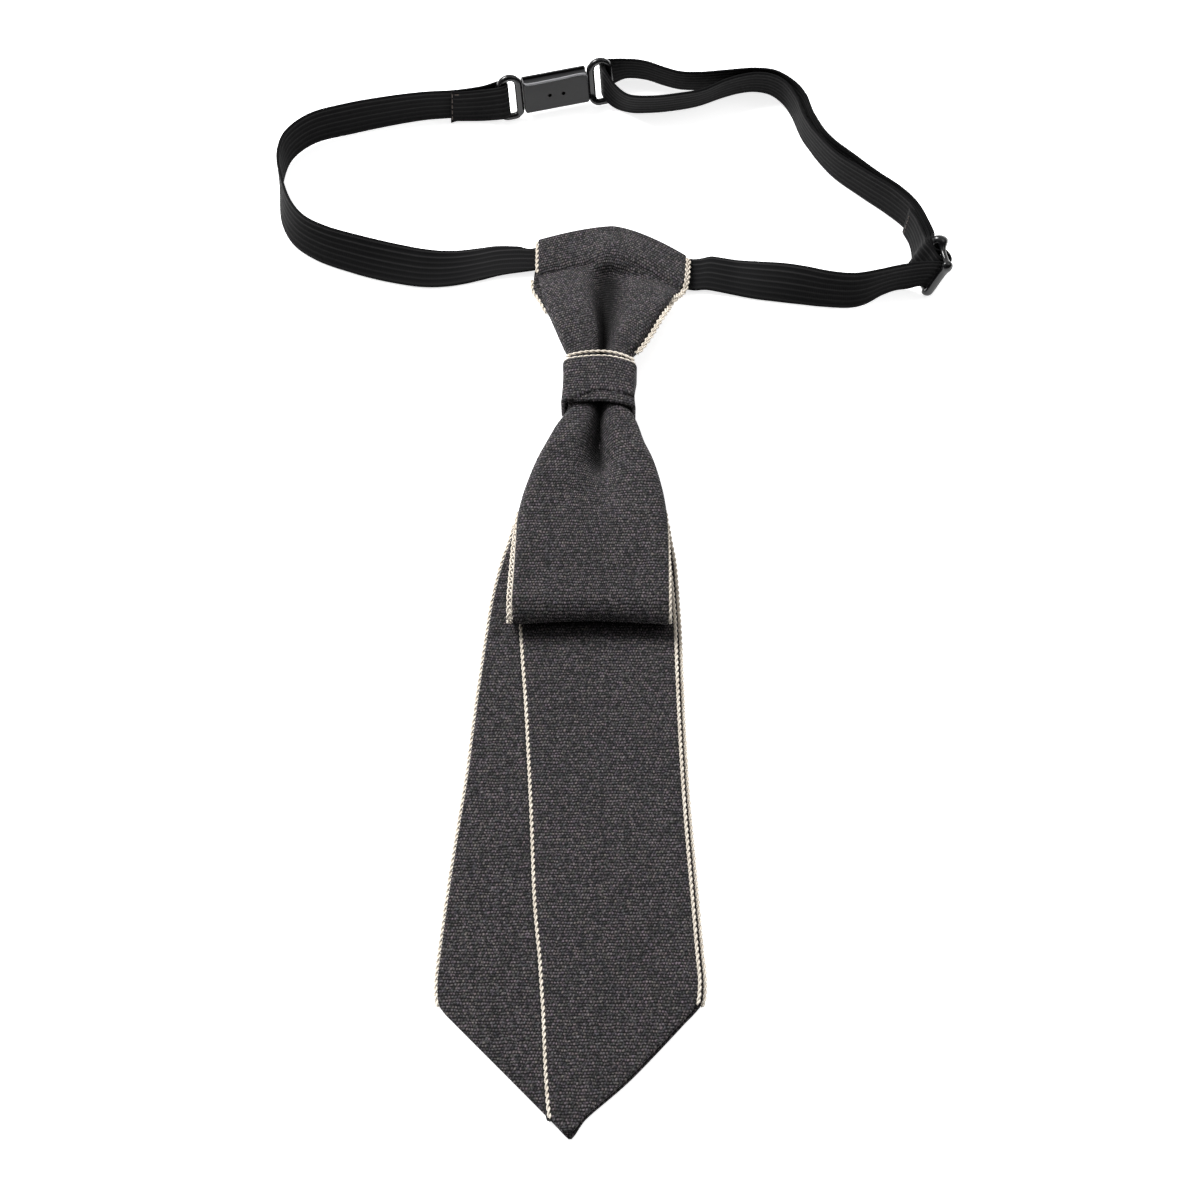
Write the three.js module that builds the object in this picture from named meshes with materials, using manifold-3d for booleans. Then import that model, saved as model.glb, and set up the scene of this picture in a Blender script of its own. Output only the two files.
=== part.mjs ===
// A pre-tied necktie on an elastic neck strap, lying on a table with the strap standing on its edge.
// Millimetres, +Z up, X across the tie, Y from the tip of the tail to the back of the neck strap.
import * as THREE from 'three';
import { mergeVertices } from 'three/addons/utils/BufferGeometryUtils.js';
import Module from 'manifold-3d';

const wasm = await Module();
wasm.setup();

// Driving dimensions
const GAP = 0.3;
const CLOTH = 1.1;
const LAYER = CLOTH + GAP;
const BAND_WALL = 1.2;
const BAND_HEIGHT = 14;
const BAND_HALF_WIDTH = 11;
const BAND_CORNER = 4;
const FOLD_RADIUS = 4.1;
const EDGING = 1.2;
const WIDE_EDGING = 2;
const BAND_CORD = 0.5;
const ELASTIC_WIDTH = 12;
const ELASTIC_THICKNESS = 0.9;
const CASING_WIDTH = 8.2;
const BOW_POWER = 1.5;
const KNOT_TOP = 75;
const KNOT_BOTTOM = 59.3;
const KNOT_HALF = 8.4;
const KNOT_SKEW = 0.5;

const CLOTH_COLOUR = 0x413d3f;
const CORD_COLOUR = 0xd9cfb8;
const ELASTIC_COLOUR = 0x1b1b1d;
const PLASTIC_COLOUR = 0x2b2b2d;
const GLOSS_COLOUR = 0x141416;

const cloth = { color: CLOTH_COLOUR, roughness: 0.95, metalness: 0 };
const cord = { color: CORD_COLOUR, roughness: 0.85, metalness: 0 };
const elastic = { color: ELASTIC_COLOUR, roughness: 0.8, metalness: 0 };
const plastic = { color: PLASTIC_COLOUR, roughness: 0.5, metalness: 0 };
const gloss = { color: GLOSS_COLOUR, roughness: 0.15, metalness: 0 };

const tie = new THREE.Group();

function piece(name, geometry, finish) {
  const mesh = new THREE.Mesh(geometry, new THREE.MeshStandardMaterial(finish));
  mesh.name = name;
  tie.add(mesh);
  return mesh;
}

// Tables: the first argument names the columns, and each row becomes an object
function table(columns, rows) {
  const names = columns.split(' ');
  return rows.map((row) => Object.fromEntries(names.map((name, k) => [name, row[k]])));
}

const mix = (a, b, t) => a + (b - a) * t;

function smoothstep(start, end, value) {
  const t = Math.min(1, Math.max(0, (value - start) / (end - start)));
  return t * t * (3 - 2 * t);
}

// Smooth interpolation through the rows that never overshoots them
function slopeAt(rows, name, k) {
  if (k === 0 || k === rows.length - 1) {
    return 0;
  }
  const before = rows[k][name] - rows[k - 1][name];
  const after = rows[k + 1][name] - rows[k][name];
  return before * after > 0 ? (2 * before * after) / (before + after) : 0;
}

function between(rows, k, t) {
  const row = {};
  for (const name of Object.keys(rows[0])) {
    const [a, b] = [rows[k][name], rows[k + 1][name]];
    const [p, q] = [slopeAt(rows, name, k), slopeAt(rows, name, k + 1)];
    const bend = p * t * (1 - t) ** 2 - q * t * t * (1 - t);
    row[name] = a * (1 + 2 * t) * (1 - t) ** 2 + b * t * t * (3 - 2 * t) + bend;
  }
  return row;
}

// Every row, with extra ones between wherever the rows lie further apart than the longest step
function refine(rows, longest) {
  const fine = [rows[0]];
  for (let k = 0; k < rows.length - 1; k += 1) {
    const steps = Math.max(1, Math.round(Math.abs(rows[k + 1].y - rows[k].y) / longest));
    for (let i = 1; i <= steps; i += 1) {
      fine.push(between(rows, k, i / steps));
    }
  }
  return fine;
}

// Cloth: a surface of rows and columns, given a thickness and closed at its edges
function normalAt(grid, i, j, ring) {
  const last = grid.length - 1;
  const across = grid[i].length - 1;
  const up = new THREE.Vector3();
  const over = new THREE.Vector3();
  const next = ring ? (i + 1) % grid.length : Math.min(last, i + 1);
  const back = ring ? (i + last) % grid.length : Math.max(0, i - 1);
  up.subVectors(grid[next][j], grid[back][j]);
  over.subVectors(grid[i][Math.min(across, j + 1)], grid[i][Math.max(0, j - 1)]);
  return over.cross(up).normalize();
}

function sheet(grid, thickness, ring = false) {
  const rows = grid.length;
  const columns = grid[0].length;
  const positions = [];
  const triangles = [];
  for (const side of [0.5, -0.5]) {
    for (let i = 0; i < rows; i += 1) {
      for (let j = 0; j < columns; j += 1) {
        const offset = normalAt(grid, i, j, ring).multiplyScalar(side * thickness);
        positions.push(...grid[i][j].clone().add(offset).toArray());
      }
    }
  }
  const at = (side, i, j) => side * rows * columns + (i % rows) * columns + j;
  const quad = (a, b, c, d) => triangles.push(a, b, c, a, c, d);
  const spans = ring ? rows : rows - 1;
  for (let i = 0; i < spans; i += 1) {
    for (let j = 0; j < columns - 1; j += 1) {
      quad(at(0, i, j), at(0, i, j + 1), at(0, i + 1, j + 1), at(0, i + 1, j));
      quad(at(1, i, j), at(1, i + 1, j), at(1, i + 1, j + 1), at(1, i, j + 1));
    }
    quad(at(0, i, 0), at(0, i + 1, 0), at(1, i + 1, 0), at(1, i, 0));
    quad(at(0, i, columns - 1), at(1, i, columns - 1), at(1, i + 1, columns - 1), at(0, i + 1, columns - 1));
  }
  if (!ring) {
    for (let j = 0; j < columns - 1; j += 1) {
      quad(at(0, 0, j), at(1, 0, j), at(1, 0, j + 1), at(0, 0, j + 1));
      quad(at(0, rows - 1, j), at(0, rows - 1, j + 1), at(1, rows - 1, j + 1), at(1, rows - 1, j));
    }
  }
  return facingOut(positions, triangles);
}

function facingOut(positions, triangles) {
  const corner = (k) => new THREE.Vector3().fromArray(positions, 3 * triangles[k]);
  let volume = 0;
  for (let k = 0; k < triangles.length; k += 3) {
    volume += corner(k).dot(corner(k + 1).cross(corner(k + 2)));
  }
  if (volume < 0) {
    triangles.reverse();
  }
  const geometry = new THREE.BufferGeometry();
  geometry.setAttribute('position', new THREE.Float32BufferAttribute(positions, 3));
  geometry.setIndex(triangles);
  return geometry;
}

// A cord of six sides along a list of points
function cordAlong(points, radius) {
  const route = new THREE.CatmullRomCurve3(points, false, 'centripetal');
  const outline = new THREE.Shape();
  for (let k = 0; k < 6; k += 1) {
    const angle = (k * Math.PI) / 3;
    const [x, y] = [radius * Math.cos(angle), radius * Math.sin(angle)];
    if (k === 0) {
      outline.moveTo(x, y);
    } else {
      outline.lineTo(x, y);
    }
  }
  outline.closePath();
  const steps = Math.max(6, Math.round(route.getLength() / 5));
  return new THREE.ExtrudeGeometry(outline, { steps, extrudePath: route, bevelEnabled: false });
}

// The overlock edging beside one side edge of a cloth grid, a strip over a range of its rows
function edging(grid, side, keep, width = EDGING) {
  const strip = [];
  for (const row of grid) {
    const edge = side < 0 ? row[0] : row[row.length - 1];
    const inner = side < 0 ? row[1] : row[row.length - 2];
    const outward = edge.clone().sub(inner).normalize();
    if (keep(edge)) {
      const near = edge.clone().addScaledVector(outward, GAP);
      strip.push([near, near.clone().addScaledVector(outward, width)]);
    }
  }
  return sheet(strip, CLOTH);
}

// Heights of the stacked layers: side by side on the table, and all together inside the knot band
const onTable = (layer) => CLOTH / 2 + layer * LAYER;
const inKnot = (layer) => BAND_WALL + GAP + CLOTH / 2 + layer * LAYER;
const tailRise = (y) => smoothstep(29, 55, y);
const headRise = (y) => smoothstep(89, 78, y);

// A row across the cloth: flat between its two ends, dented in the middle and rolled down at both ends.
// "lean" turns the row's own up direction from +Z (90) over -Y (180) or +Y (0) to -Z (270 or -90).
function rowAcross(row, columns) {
  const middle = (row.left + row.right) / 2;
  const arc = THREE.MathUtils.degToRad(row.arc);
  const angle = THREE.MathUtils.degToRad(row.lean);
  const up = new THREE.Vector3(0, Math.cos(angle), Math.sin(angle));
  const overhang = row.roll * Math.sin(Math.min(arc, Math.PI / 2));
  const flatLeft = row.left + overhang;
  const flatRight = row.right - overhang;
  const reach = arc * row.roll;
  const total = flatRight - flatLeft + 2 * reach;
  const points = [];
  for (let j = 0; j <= columns; j += 1) {
    const along = (j / columns) * total - reach;
    const past = Math.max(0, -along, along - (flatRight - flatLeft));
    const turn = past / row.roll;
    const side = along < 0 ? -1 : 1;
    let x = flatLeft + along;
    if (past > 0) {
      x = (side < 0 ? flatLeft : flatRight) + side * row.roll * Math.sin(turn);
    }
    const dent = row.dent * Math.exp(-(((x - row.dentX) / row.pinch) ** 2)) * (turn < 1.2 ? 1 : 0);
    const drop = row.roll * (1 - Math.cos(turn)) + dent;
    const away = x - middle;
    const bow = away < 0 ? row.bowLeft : row.bowRight;
    const half = (row.right - row.left) / 2;
    const y = row.y - bow * Math.abs(away / half) ** BOW_POWER;
    points.push(new THREE.Vector3(x, y, row.z).addScaledVector(up, -drop));
  }
  return points;
}

// The tail's two panels: rows from inside the knot down to the tip
function panel(rows, layer, columns) {
  const grid = refine(rows, 12).map((row) => {
    const inside = tailRise(row.y);
    const z = mix(onTable(layer), inKnot(layer + 1), inside);
    const points = [];
    for (let j = 0; j <= columns; j += 1) {
      points.push(new THREE.Vector3(mix(row.left, row.right, j / columns), row.y, z));
    }
    return points;
  });
  return grid;
}

const tailUnderRows = table('y left right', [
  [65, -8.6, 8.6],
  [56, -8.6, 8.6],
  [48, -12.5, 11.5],
  [38, -18.6, 15.6],
  [30, -23, 18.5],
  [19, -25.9, 20.1],
  [12.4, -27.8, 21.1],
  [-1, -30.5, 21.9],
  [-14, -32.1, 22.4],
  [-33.4, -34.2, 22.8],
  [-58.2, -36.6, 23.6],
  [-82.3, -39.6, 25.1],
  [-105.7, -42.1, 26.6],
  [-117, -43, 27.4],
  [-122.7, -42.7, 27],
  [-125.4, -41.4, 25.4],
  [-128.1, -38.9, 22.9],
  [-144.7, -22.9, 7.7],
  [-155.7, -12.4, -4.2],
  [-159.2, -9.2, -6.4],
  [-160.3, -8.1, -7.3],
]);

const tailOverRows = table('y left right', [
  [65, -8.4, 8.4],
  [56, -8.4, 8.4],
  [48, -11.5, 10.5],
  [38, -16.5, 14.4],
  [30, -20.3, 17],
  [19, -22, 18.6],
  [0, -22.2, 20.4],
  [-9.6, -22, 20.9],
  [-20.9, -21.3, 21.1],
  [-33.7, -20.3, 21.4],
  [-52.4, -19.2, 22],
  [-70.6, -18.2, 22.9],
  [-94.3, -17.1, 24.4],
  [-111.6, -15.5, 25.5],
  [-117.2, -15.1, 25.9],
  [-122.9, -14.7, 25.5],
  [-125.4, -14.5, 24.4],
  [-134.1, -14.1, 16.8],
  [-145, -13.5, 6.8],
  [-155.4, -12.4, -4.4],
  [-158.4, -10, -6.6],
  [-159.4, -9, -7.6],
]);

const tailUnder = panel(tailUnderRows, 0, 4);
const tailOver = panel(tailOverRows, 1, 4);
const belowLoop = (point) => point.y < 26 && point.y > -125;
const lapLength = (point) => point.y < 26 && point.y > -156.5;
piece('tail_under', sheet(tailUnder, CLOTH), cloth);
piece('tail_over', sheet(tailOver, CLOTH), cloth);
piece('tail_under_piping_left', edging(tailUnder, -1, belowLoop), cord);
piece('tail_under_piping_right', edging(tailUnder, 1, belowLoop), cord);
piece('tail_over_piping_left', edging(tailOver, -1, lapLength), cord);
piece('tail_over_piping_right', edging(tailOver, 1, belowLoop), cord);

// The front loop: down the front from inside the knot, round the fold and back up behind
const FRONT_Z = BAND_HEIGHT - BAND_WALL - GAP - CLOTH / 2;
const BACK_Z = onTable(2);
const FOLD_Y = -5;
const FOLD_Z = BACK_Z + FOLD_RADIUS;
const KNOT_ROLL = (FRONT_Z - inKnot(4)) / 2;

const loopFront = table('y left right z roll arc dent pinch dentX bowLeft bowRight lean', [
  [65, -KNOT_HALF - 0.2, KNOT_HALF - 0.2, FRONT_Z, KNOT_ROLL, 180, 3.9, 2.2, 0, 0, 0, 90],
  [55.6, -KNOT_HALF - 0.4, KNOT_HALF - 0.4, FRONT_Z, KNOT_ROLL, 175, 3.9, 2.2, 0, 0, 0, 90],
  [52.2, -12.2, 10.4, FRONT_Z + 0.2, 2.2, 145, 4.4, 2.3, 0, 0, 0, 90],
  [47, -14.9, 12.3, 12.4, 2.6, 125, 4.2, 2.8, 0.2, 0, 0, 90],
  [41, -17.7, 14.8, 12.6, 2.8, 108, 2.8, 3.4, 0.3, 0, 0, 90],
  [34, -20.2, 16.8, 12.6, 2.8, 96, 1.4, 4.2, 0.3, 0, 0, 90],
  [27.4, -22.1, 18.1, 12.5, 2.6, 86, 0.6, 5, 0, 0, 0, 90],
  [20.7, -23.3, 18.9, 12.3, 2.4, 72, 0.2, 5, 0, 0, 0, 90],
  [12, -23.8, 19.2, 12, 2.2, 56, 0, 5, 0, 0, 0, 90],
  [3, -24.2, 19.3, FOLD_Z + FOLD_RADIUS, 2, 42, 0, 5, 0, 0, 0, 90],
]);

const loopBack = table('y left right z roll arc dent pinch dentX bowLeft bowRight lean', [
  [19, -23.2, 18.6, BACK_Z, 2, 4, 0, 5, 0, 0, 0, 270],
  [30, -20.8, 17, BACK_Z, 2, 4, 0, 5, 0, 0, 0, 270],
  [38, -16.6, 14.4, mix(BACK_Z, inKnot(3), tailRise(38)), 2, 4, 0, 5, 0, 0, 0, 270],
  [48, -11.6, 10.4, mix(BACK_Z, inKnot(3), tailRise(48)), 2, 4, 0, 5, 0, 0, 0, 270],
  [56, -8.7, 8.3, inKnot(3), 2, 4, 0, 5, 0, 0, 0, 270],
  [65, -8.7, 8.3, inKnot(3), 2, 4, 0, 5, 0, 0, 0, 270],
]);

function foldRows(count, first, last, turned) {
  const rows = [];
  for (let k = 0; k <= count; k += 1) {
    rows.push(turned(mix(first, last, k / count), k / count));
  }
  return rows;
}

const loopFold = foldRows(6, 90, 270, (lean, t) => {
  const angle = THREE.MathUtils.degToRad(lean);
  return {
    y: FOLD_Y + FOLD_RADIUS * Math.cos(angle),
    left: -24.6,
    right: 19.3,
    z: FOLD_Z + FOLD_RADIUS * Math.sin(angle),
    roll: 2,
    arc: mix(32, 4, t),
    dent: 0,
    pinch: 5,
    dentX: 0,
    bowLeft: -(Math.sin(Math.PI * t) ** 2),
    bowRight: -0.7 * Math.sin(Math.PI * t) ** 2,
    lean,
  };
});

const loopRows = [...refine(loopFront, 5), ...loopFold, ...refine(loopBack, 12)];
const loopGrid = loopRows.map((row) => rowAcross(row, 26));
piece('front_loop', sheet(loopGrid, CLOTH), cloth);
const loopEdge = (point) => point.y < 24 && !(point.z < FOLD_Z - 1 && point.y > 6);
piece('front_loop_piping_left', edging(loopGrid, -1, loopEdge, WIDE_EDGING), cord);
piece('front_loop_piping_right', edging(loopGrid, 1, loopEdge), cord);

// The neck fold: up the front from inside the knot, over the strap and down the back
const CASING_Z = onTable(0) + ELASTIC_THICKNESS + 2 * GAP + CLOTH + 0.1;
const CASING_FOLD = (CASING_Z - onTable(0)) / 2;
const CASING_TOP = 129.9;
const CASING_BOW_LEFT = 5.3;
const CASING_BOW_RIGHT = 11.4;
const CASING_MIDDLE_X = 4.2;
const CASING_HALF_LENGTH = 23;
const STRAP_Z = onTable(0) + CLOTH / 2 + GAP + ELASTIC_THICKNESS / 2;

const headFront = table('y left right z roll arc dent pinch dentX bowLeft bowRight lean', [
  [65.6, -KNOT_HALF, KNOT_HALF, FRONT_Z, KNOT_ROLL, 180, 3.9, 2.2, 0, 0, 0, 90],
  [76.4, -KNOT_HALF, KNOT_HALF, FRONT_Z, KNOT_ROLL, 178, 3.9, 2, 0.2, 0, 0, 90],
  [80.5, -9.4, 10, FRONT_Z - 0.4, 2.1, 165, 4.4, 2, 0.4, 0, 0, 90],
  [86, -11, 13, 10.9, 2.4, 140, 4.8, 2.2, 0.4, 0, 0, 90],
  [92, -13.4, 16.4, 9.4, 2.5, 112, 4.4, 2.6, 0.3, 0, 0.4, 90],
  [98, -16.2, 19.6, 7.6, 2.4, 84, 3.5, 3.2, 0.2, 0.6, 1.4, 90],
  [105, -18.2, 22.8, 5.6, 2.2, 54, 2.2, 4.2, 0.1, 2, 4, 90],
  [111.6, -18.5, 24.8, 3.7, 2, 24, 0.9, 5.5, 0, 4, 8, 90],
  [117.3, -18.6, 25.9, onTable(0) + LAYER + 0.1, 2, 4, 0, 5, 0, 5.1, 10.7, 90],
  [119.7, -18.7, 26.5, CASING_Z, 2, 4, 0, 5, 0, 5.2, 11, 90],
  [124.5, -18.8, 27, CASING_Z + 0.15, 2, 4, 0, 5, 0, 5.3, 11.3, 90],
]);

const headFold = foldRows(6, 90, -90, (lean) => {
  const angle = THREE.MathUtils.degToRad(lean);
  return {
    y: CASING_TOP + CASING_FOLD * Math.cos(angle),
    left: -18.9,
    right: 27.2,
    z: onTable(0) + CASING_FOLD + CASING_FOLD * Math.sin(angle),
    roll: 2,
    arc: 4,
    dent: 0,
    pinch: 5,
    dentX: 0,
    bowLeft: CASING_BOW_LEFT,
    bowRight: CASING_BOW_RIGHT,
    lean,
  };
});

const headBackRow = (y, left, right, bowLeft, bowRight) => ({
  y,
  left,
  right,
  z: mix(onTable(0), inKnot(0), headRise(y)),
  roll: 2,
  arc: 4,
  dent: 0,
  pinch: 5,
  dentX: 0,
  bowLeft,
  bowRight,
  lean: -90,
});

const headBack = [
  headBackRow(118, -19.6, 26.9, 5.1, 10.7),
  headBackRow(110.5, -20.2, 25.7, 3.6, 7),
  headBackRow(104.5, -19, 23.6, 1.4, 3),
  headBackRow(98, -15.8, 21, 0, 0.8),
  headBackRow(92, -12.9, 17.8, 0, 0),
  headBackRow(86, -10.3, 13.6, 0, 0),
  headBackRow(82, -8.6, 10.2, 0, 0),
  headBackRow(78, -7.5, 7.5, 0, 0),
  headBackRow(61, -7.5, 7.5, 0, 0),
];

const headRows = [...refine(headFront, 5), ...headFold, ...refine(headBack, 12)];
const headGrid = headRows.map((row) => rowAcross(row, 26));
piece('neck_fold', sheet(headGrid, CLOTH), cloth);
const casingEnd = (point) => point.z > STRAP_Z + 0.6 && point.y > 106 + (point.x < 0 ? 7 : 0);
const frontSlope = (point) => point.z > STRAP_Z + 0.6 && point.y > 84;
const backSlope = (point) => point.z < STRAP_Z - 0.6 && point.y > 80 && point.y < 113;
piece('neck_fold_piping_left', edging(headGrid, -1, casingEnd), cord);
piece('neck_fold_piping_right', edging(headGrid, 1, frontSlope, WIDE_EDGING), cord);
piece('neck_fold_back_piping_left', edging(headGrid, -1, backSlope), cord);
piece('neck_fold_back_piping_right', edging(headGrid, 1, backSlope), cord);

// The knot band: a cloth ring of rounded section round everything that goes through the knot
function bandSection(scale, count) {
  const halfWidth = (BAND_HALF_WIDTH - BAND_WALL / 2) * scale;
  const corner = BAND_CORNER - BAND_WALL / 2;
  const [low, high] = [BAND_WALL / 2, BAND_HEIGHT - BAND_WALL / 2];
  const section = new THREE.Path();
  section.moveTo(0, low);
  section.absarc(-halfWidth + corner, low + corner, corner, -Math.PI / 2, -Math.PI, true);
  section.absarc(-halfWidth + corner, high - corner, corner, Math.PI, Math.PI / 2, true);
  section.absarc(halfWidth - corner, high - corner, corner, Math.PI / 2, 0, true);
  section.absarc(halfWidth - corner, low + corner, corner, 0, -Math.PI / 2, true);
  section.lineTo(0, low);
  return section.getSpacedPoints(count);
}

const bandTop = (x) => KNOT_TOP - (x < 0 ? 1.5 : 3) * (x / BAND_HALF_WIDTH) ** 2;
const bandBottom = (x) => KNOT_BOTTOM - (x < 0 ? 0.5 : 2.3) * (x / BAND_HALF_WIDTH) ** 2;

const BAND_TURNS = 40;
const BAND_STEPS = 4;
const bandGrid = Array.from({ length: BAND_TURNS }, () => []);
for (let j = 0; j <= BAND_STEPS; j += 1) {
  const section = bandSection(1 - 0.03 * Math.sin((Math.PI * j) / BAND_STEPS), BAND_TURNS);
  for (let k = 0; k < BAND_TURNS; k += 1) {
    const spot = section[k];
    const y = mix(bandBottom(spot.x), bandTop(spot.x), j / BAND_STEPS);
    const skew = KNOT_SKEW * (1 - j / BAND_STEPS);
    bandGrid[k].push(new THREE.Vector3(spot.x - skew, y, spot.y));
  }
}
piece('knot_band', sheet(bandGrid, BAND_WALL, true), cloth);

// A cord beside the band's top edge, over the front and a share of both sides, closer in at its ends
function bandCord(beyond, share) {
  const section = bandSection(1, 2 * BAND_TURNS);
  const reach = Math.round(share * BAND_TURNS);
  const points = [];
  for (let k = -reach; k <= reach; k += 1) {
    const spot = section[BAND_TURNS + k];
    const away = beyond * (1 - 0.12 * Math.abs(k / reach) ** 3);
    points.push(new THREE.Vector3(spot.x, bandTop(spot.x) + GAP + BAND_CORD + away, spot.y));
  }
  return cordAlong(points, BAND_CORD);
}
piece('knot_band_piping_lower', bandCord(0, 0.46), cord);
piece('knot_band_piping_upper', bandCord(2 * BAND_CORD + GAP + 0.25, 0.26), cord);

// The clasp: its own frame runs along the strap, across it and out through its face
const CLASP_CENTRE = new THREE.Vector3(-14.1, 181.5, 7.8);
const CLASP_HEADING = THREE.MathUtils.degToRad(13.7);
const CLASP_LEAN = THREE.MathUtils.degToRad(16);
const BOX_LENGTH = 20.7;
const BOX_HEIGHT = 11;
const BOX_DEPTH = 3.6;
const BOX_BEVEL = 0.6;
const BOX_WALL = 0.8;
const RING_HEIGHT = 15.4;
const RING_DEPTH = 1.6;
const RING_INNER_BAR = 2;
const RING_SLOT = 3.8;
const RING_OUTER_BAR = 1.4;
const RING_OUTER = BOX_LENGTH / 2 + 0.3 + RING_INNER_BAR + RING_SLOT + RING_OUTER_BAR / 2;
const TONGUE_LENGTH = 14;

const flat = (heading) => new THREE.Vector3(Math.cos(heading), Math.sin(heading), 0);
const claspAlong = flat(CLASP_HEADING);
const claspAcross = flat(CLASP_HEADING + Math.PI / 2).multiplyScalar(Math.sin(CLASP_LEAN));
claspAcross.z = Math.cos(CLASP_LEAN);
const claspOut = new THREE.Vector3().crossVectors(claspAlong, claspAcross);
const claspFrame = new THREE.Matrix4().makeBasis(claspAlong, claspAcross, claspOut).setPosition(CLASP_CENTRE);

function solidOf(geometry) {
  const bare = geometry.index ? geometry.clone() : geometry;
  bare.deleteAttribute('normal');
  bare.deleteAttribute('uv');
  const joined = mergeVertices(bare, 1e-4);
  return new wasm.Manifold(new wasm.Mesh({
    numProp: 3,
    vertProperties: new Float32Array(joined.attributes.position.array),
    triVerts: new Uint32Array(joined.index.array),
  }));
}

function geometryOf(solid) {
  const mesh = solid.getMesh();
  const geometry = new THREE.BufferGeometry();
  geometry.setAttribute('position', new THREE.BufferAttribute(mesh.vertProperties, 3));
  geometry.setIndex(new THREE.BufferAttribute(mesh.triVerts, 1));
  return geometry;
}

function block(length, height, depth, x = 0, y = 0, z = 0) {
  return solidOf(new THREE.BoxGeometry(length, height, depth).translate(x, y, z));
}

function roundedOutline(length, height, corner, points = 3) {
  const outline = [];
  for (const [sx, sy, start] of [[1, -1, 270], [1, 1, 0], [-1, 1, 90], [-1, -1, 180]]) {
    for (let k = 0; k <= points; k += 1) {
      const angle = THREE.MathUtils.degToRad(start + (90 * k) / points);
      const x = sx * (length / 2 - corner) + corner * Math.cos(angle);
      outline.push(new THREE.Vector2(x, sy * (height / 2 - corner) + corner * Math.sin(angle)));
    }
  }
  return outline;
}

// A plate with rounded corners and one or more slots, lying in the frame's plane
function slottedPlate(length, height, depth, corner, slots) {
  const shape = new THREE.Shape(roundedOutline(length, height, corner));
  for (const slot of slots) {
    const outline = roundedOutline(slot.width, slot.height, slot.corner, 2);
    shape.holes.push(new THREE.Path(outline.map((spot) => new THREE.Vector2(spot.x + slot.x, spot.y)).reverse()));
  }
  const plate = new THREE.ExtrudeGeometry(shape, { depth, bevelEnabled: false });
  return plate.translate(0, 0, -depth / 2);
}

const ringLength = RING_INNER_BAR + RING_SLOT + RING_OUTER_BAR;
function claspRing(side) {
  const slotX = side * (RING_SLOT / 2 + RING_INNER_BAR - ringLength / 2);
  const slot = { x: slotX, width: RING_SLOT, height: ELASTIC_WIDTH + 2 * GAP, corner: 0.9 };
  const ring = slottedPlate(ringLength, RING_HEIGHT, RING_DEPTH, 2.2, [slot]);
  return solidOf(ring.translate(side * (BOX_LENGTH / 2 + 0.3 + ringLength / 2), 0, 0));
}

function bevelledBox() {
  const [h, d, b] = [BOX_HEIGHT / 2, BOX_DEPTH / 2, BOX_BEVEL];
  const section = new THREE.Shape([
    new THREE.Vector2(-h + b, -d),
    new THREE.Vector2(h - b, -d),
    new THREE.Vector2(h, -d + b),
    new THREE.Vector2(h, d - b),
    new THREE.Vector2(h - b, d),
    new THREE.Vector2(-h + b, d),
    new THREE.Vector2(-h, d - b),
    new THREE.Vector2(-h, -d + b),
  ]);
  const bar = new THREE.ExtrudeGeometry(section, { depth: BOX_LENGTH, bevelEnabled: false });
  bar.translate(0, 0, -BOX_LENGTH / 2);
  bar.applyMatrix4(new THREE.Matrix4().makeBasis(
    new THREE.Vector3(0, 1, 0),
    new THREE.Vector3(0, 0, 1),
    new THREE.Vector3(1, 0, 0),
  ));
  return solidOf(bar);
}

const cavityHeight = BOX_HEIGHT - 2 * BOX_WALL;
const cavityDepth = BOX_DEPTH - 2 * BOX_WALL;
const cavityLength = TONGUE_LENGTH + 0.8;
const cavity = block(cavityLength, cavityHeight, cavityDepth, BOX_LENGTH / 2 - cavityLength / 2 + 0.01);
const peg = (x, y, radius) => {
  const pin = new THREE.CylinderGeometry(radius, radius, BOX_DEPTH, 12);
  return solidOf(pin.rotateX(Math.PI / 2).translate(x, y, BOX_DEPTH / 2));
};
const neck = (side) => block(1.2, 6, RING_DEPTH, side * (BOX_LENGTH / 2 + 0.3));
const socket = bevelledBox().subtract(cavity).subtract(peg(-2.3, 0, 0.55)).subtract(peg(2.4, 0.6, 0.55));
piece('clasp_socket', geometryOf(socket.add(claspRing(-1)).add(neck(-1))).applyMatrix4(claspFrame), plastic);

const tongue = block(
  TONGUE_LENGTH + 1,
  cavityHeight - 2 * GAP,
  cavityDepth - 2 * GAP,
  BOX_LENGTH / 2 + 0.9 - (TONGUE_LENGTH + 1) / 2,
);
piece('clasp_plug', geometryOf(tongue.add(claspRing(1))).applyMatrix4(claspFrame), plastic);

// The slider: three bars and two slots, seen nearly edge on
const SLIDER_CENTRE = new THREE.Vector3(101, 112.7, 6.95);
const SLIDER_HEADING = THREE.MathUtils.degToRad(102);
const SLIDER_LEAN = THREE.MathUtils.degToRad(-26);
const SLIDER_HEIGHT = 14.6;
const SLIDER_DEPTH = 1.3;
const SLIDER_PITCH = 4.7;
const SLIDER_BAR = 1.4;

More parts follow.
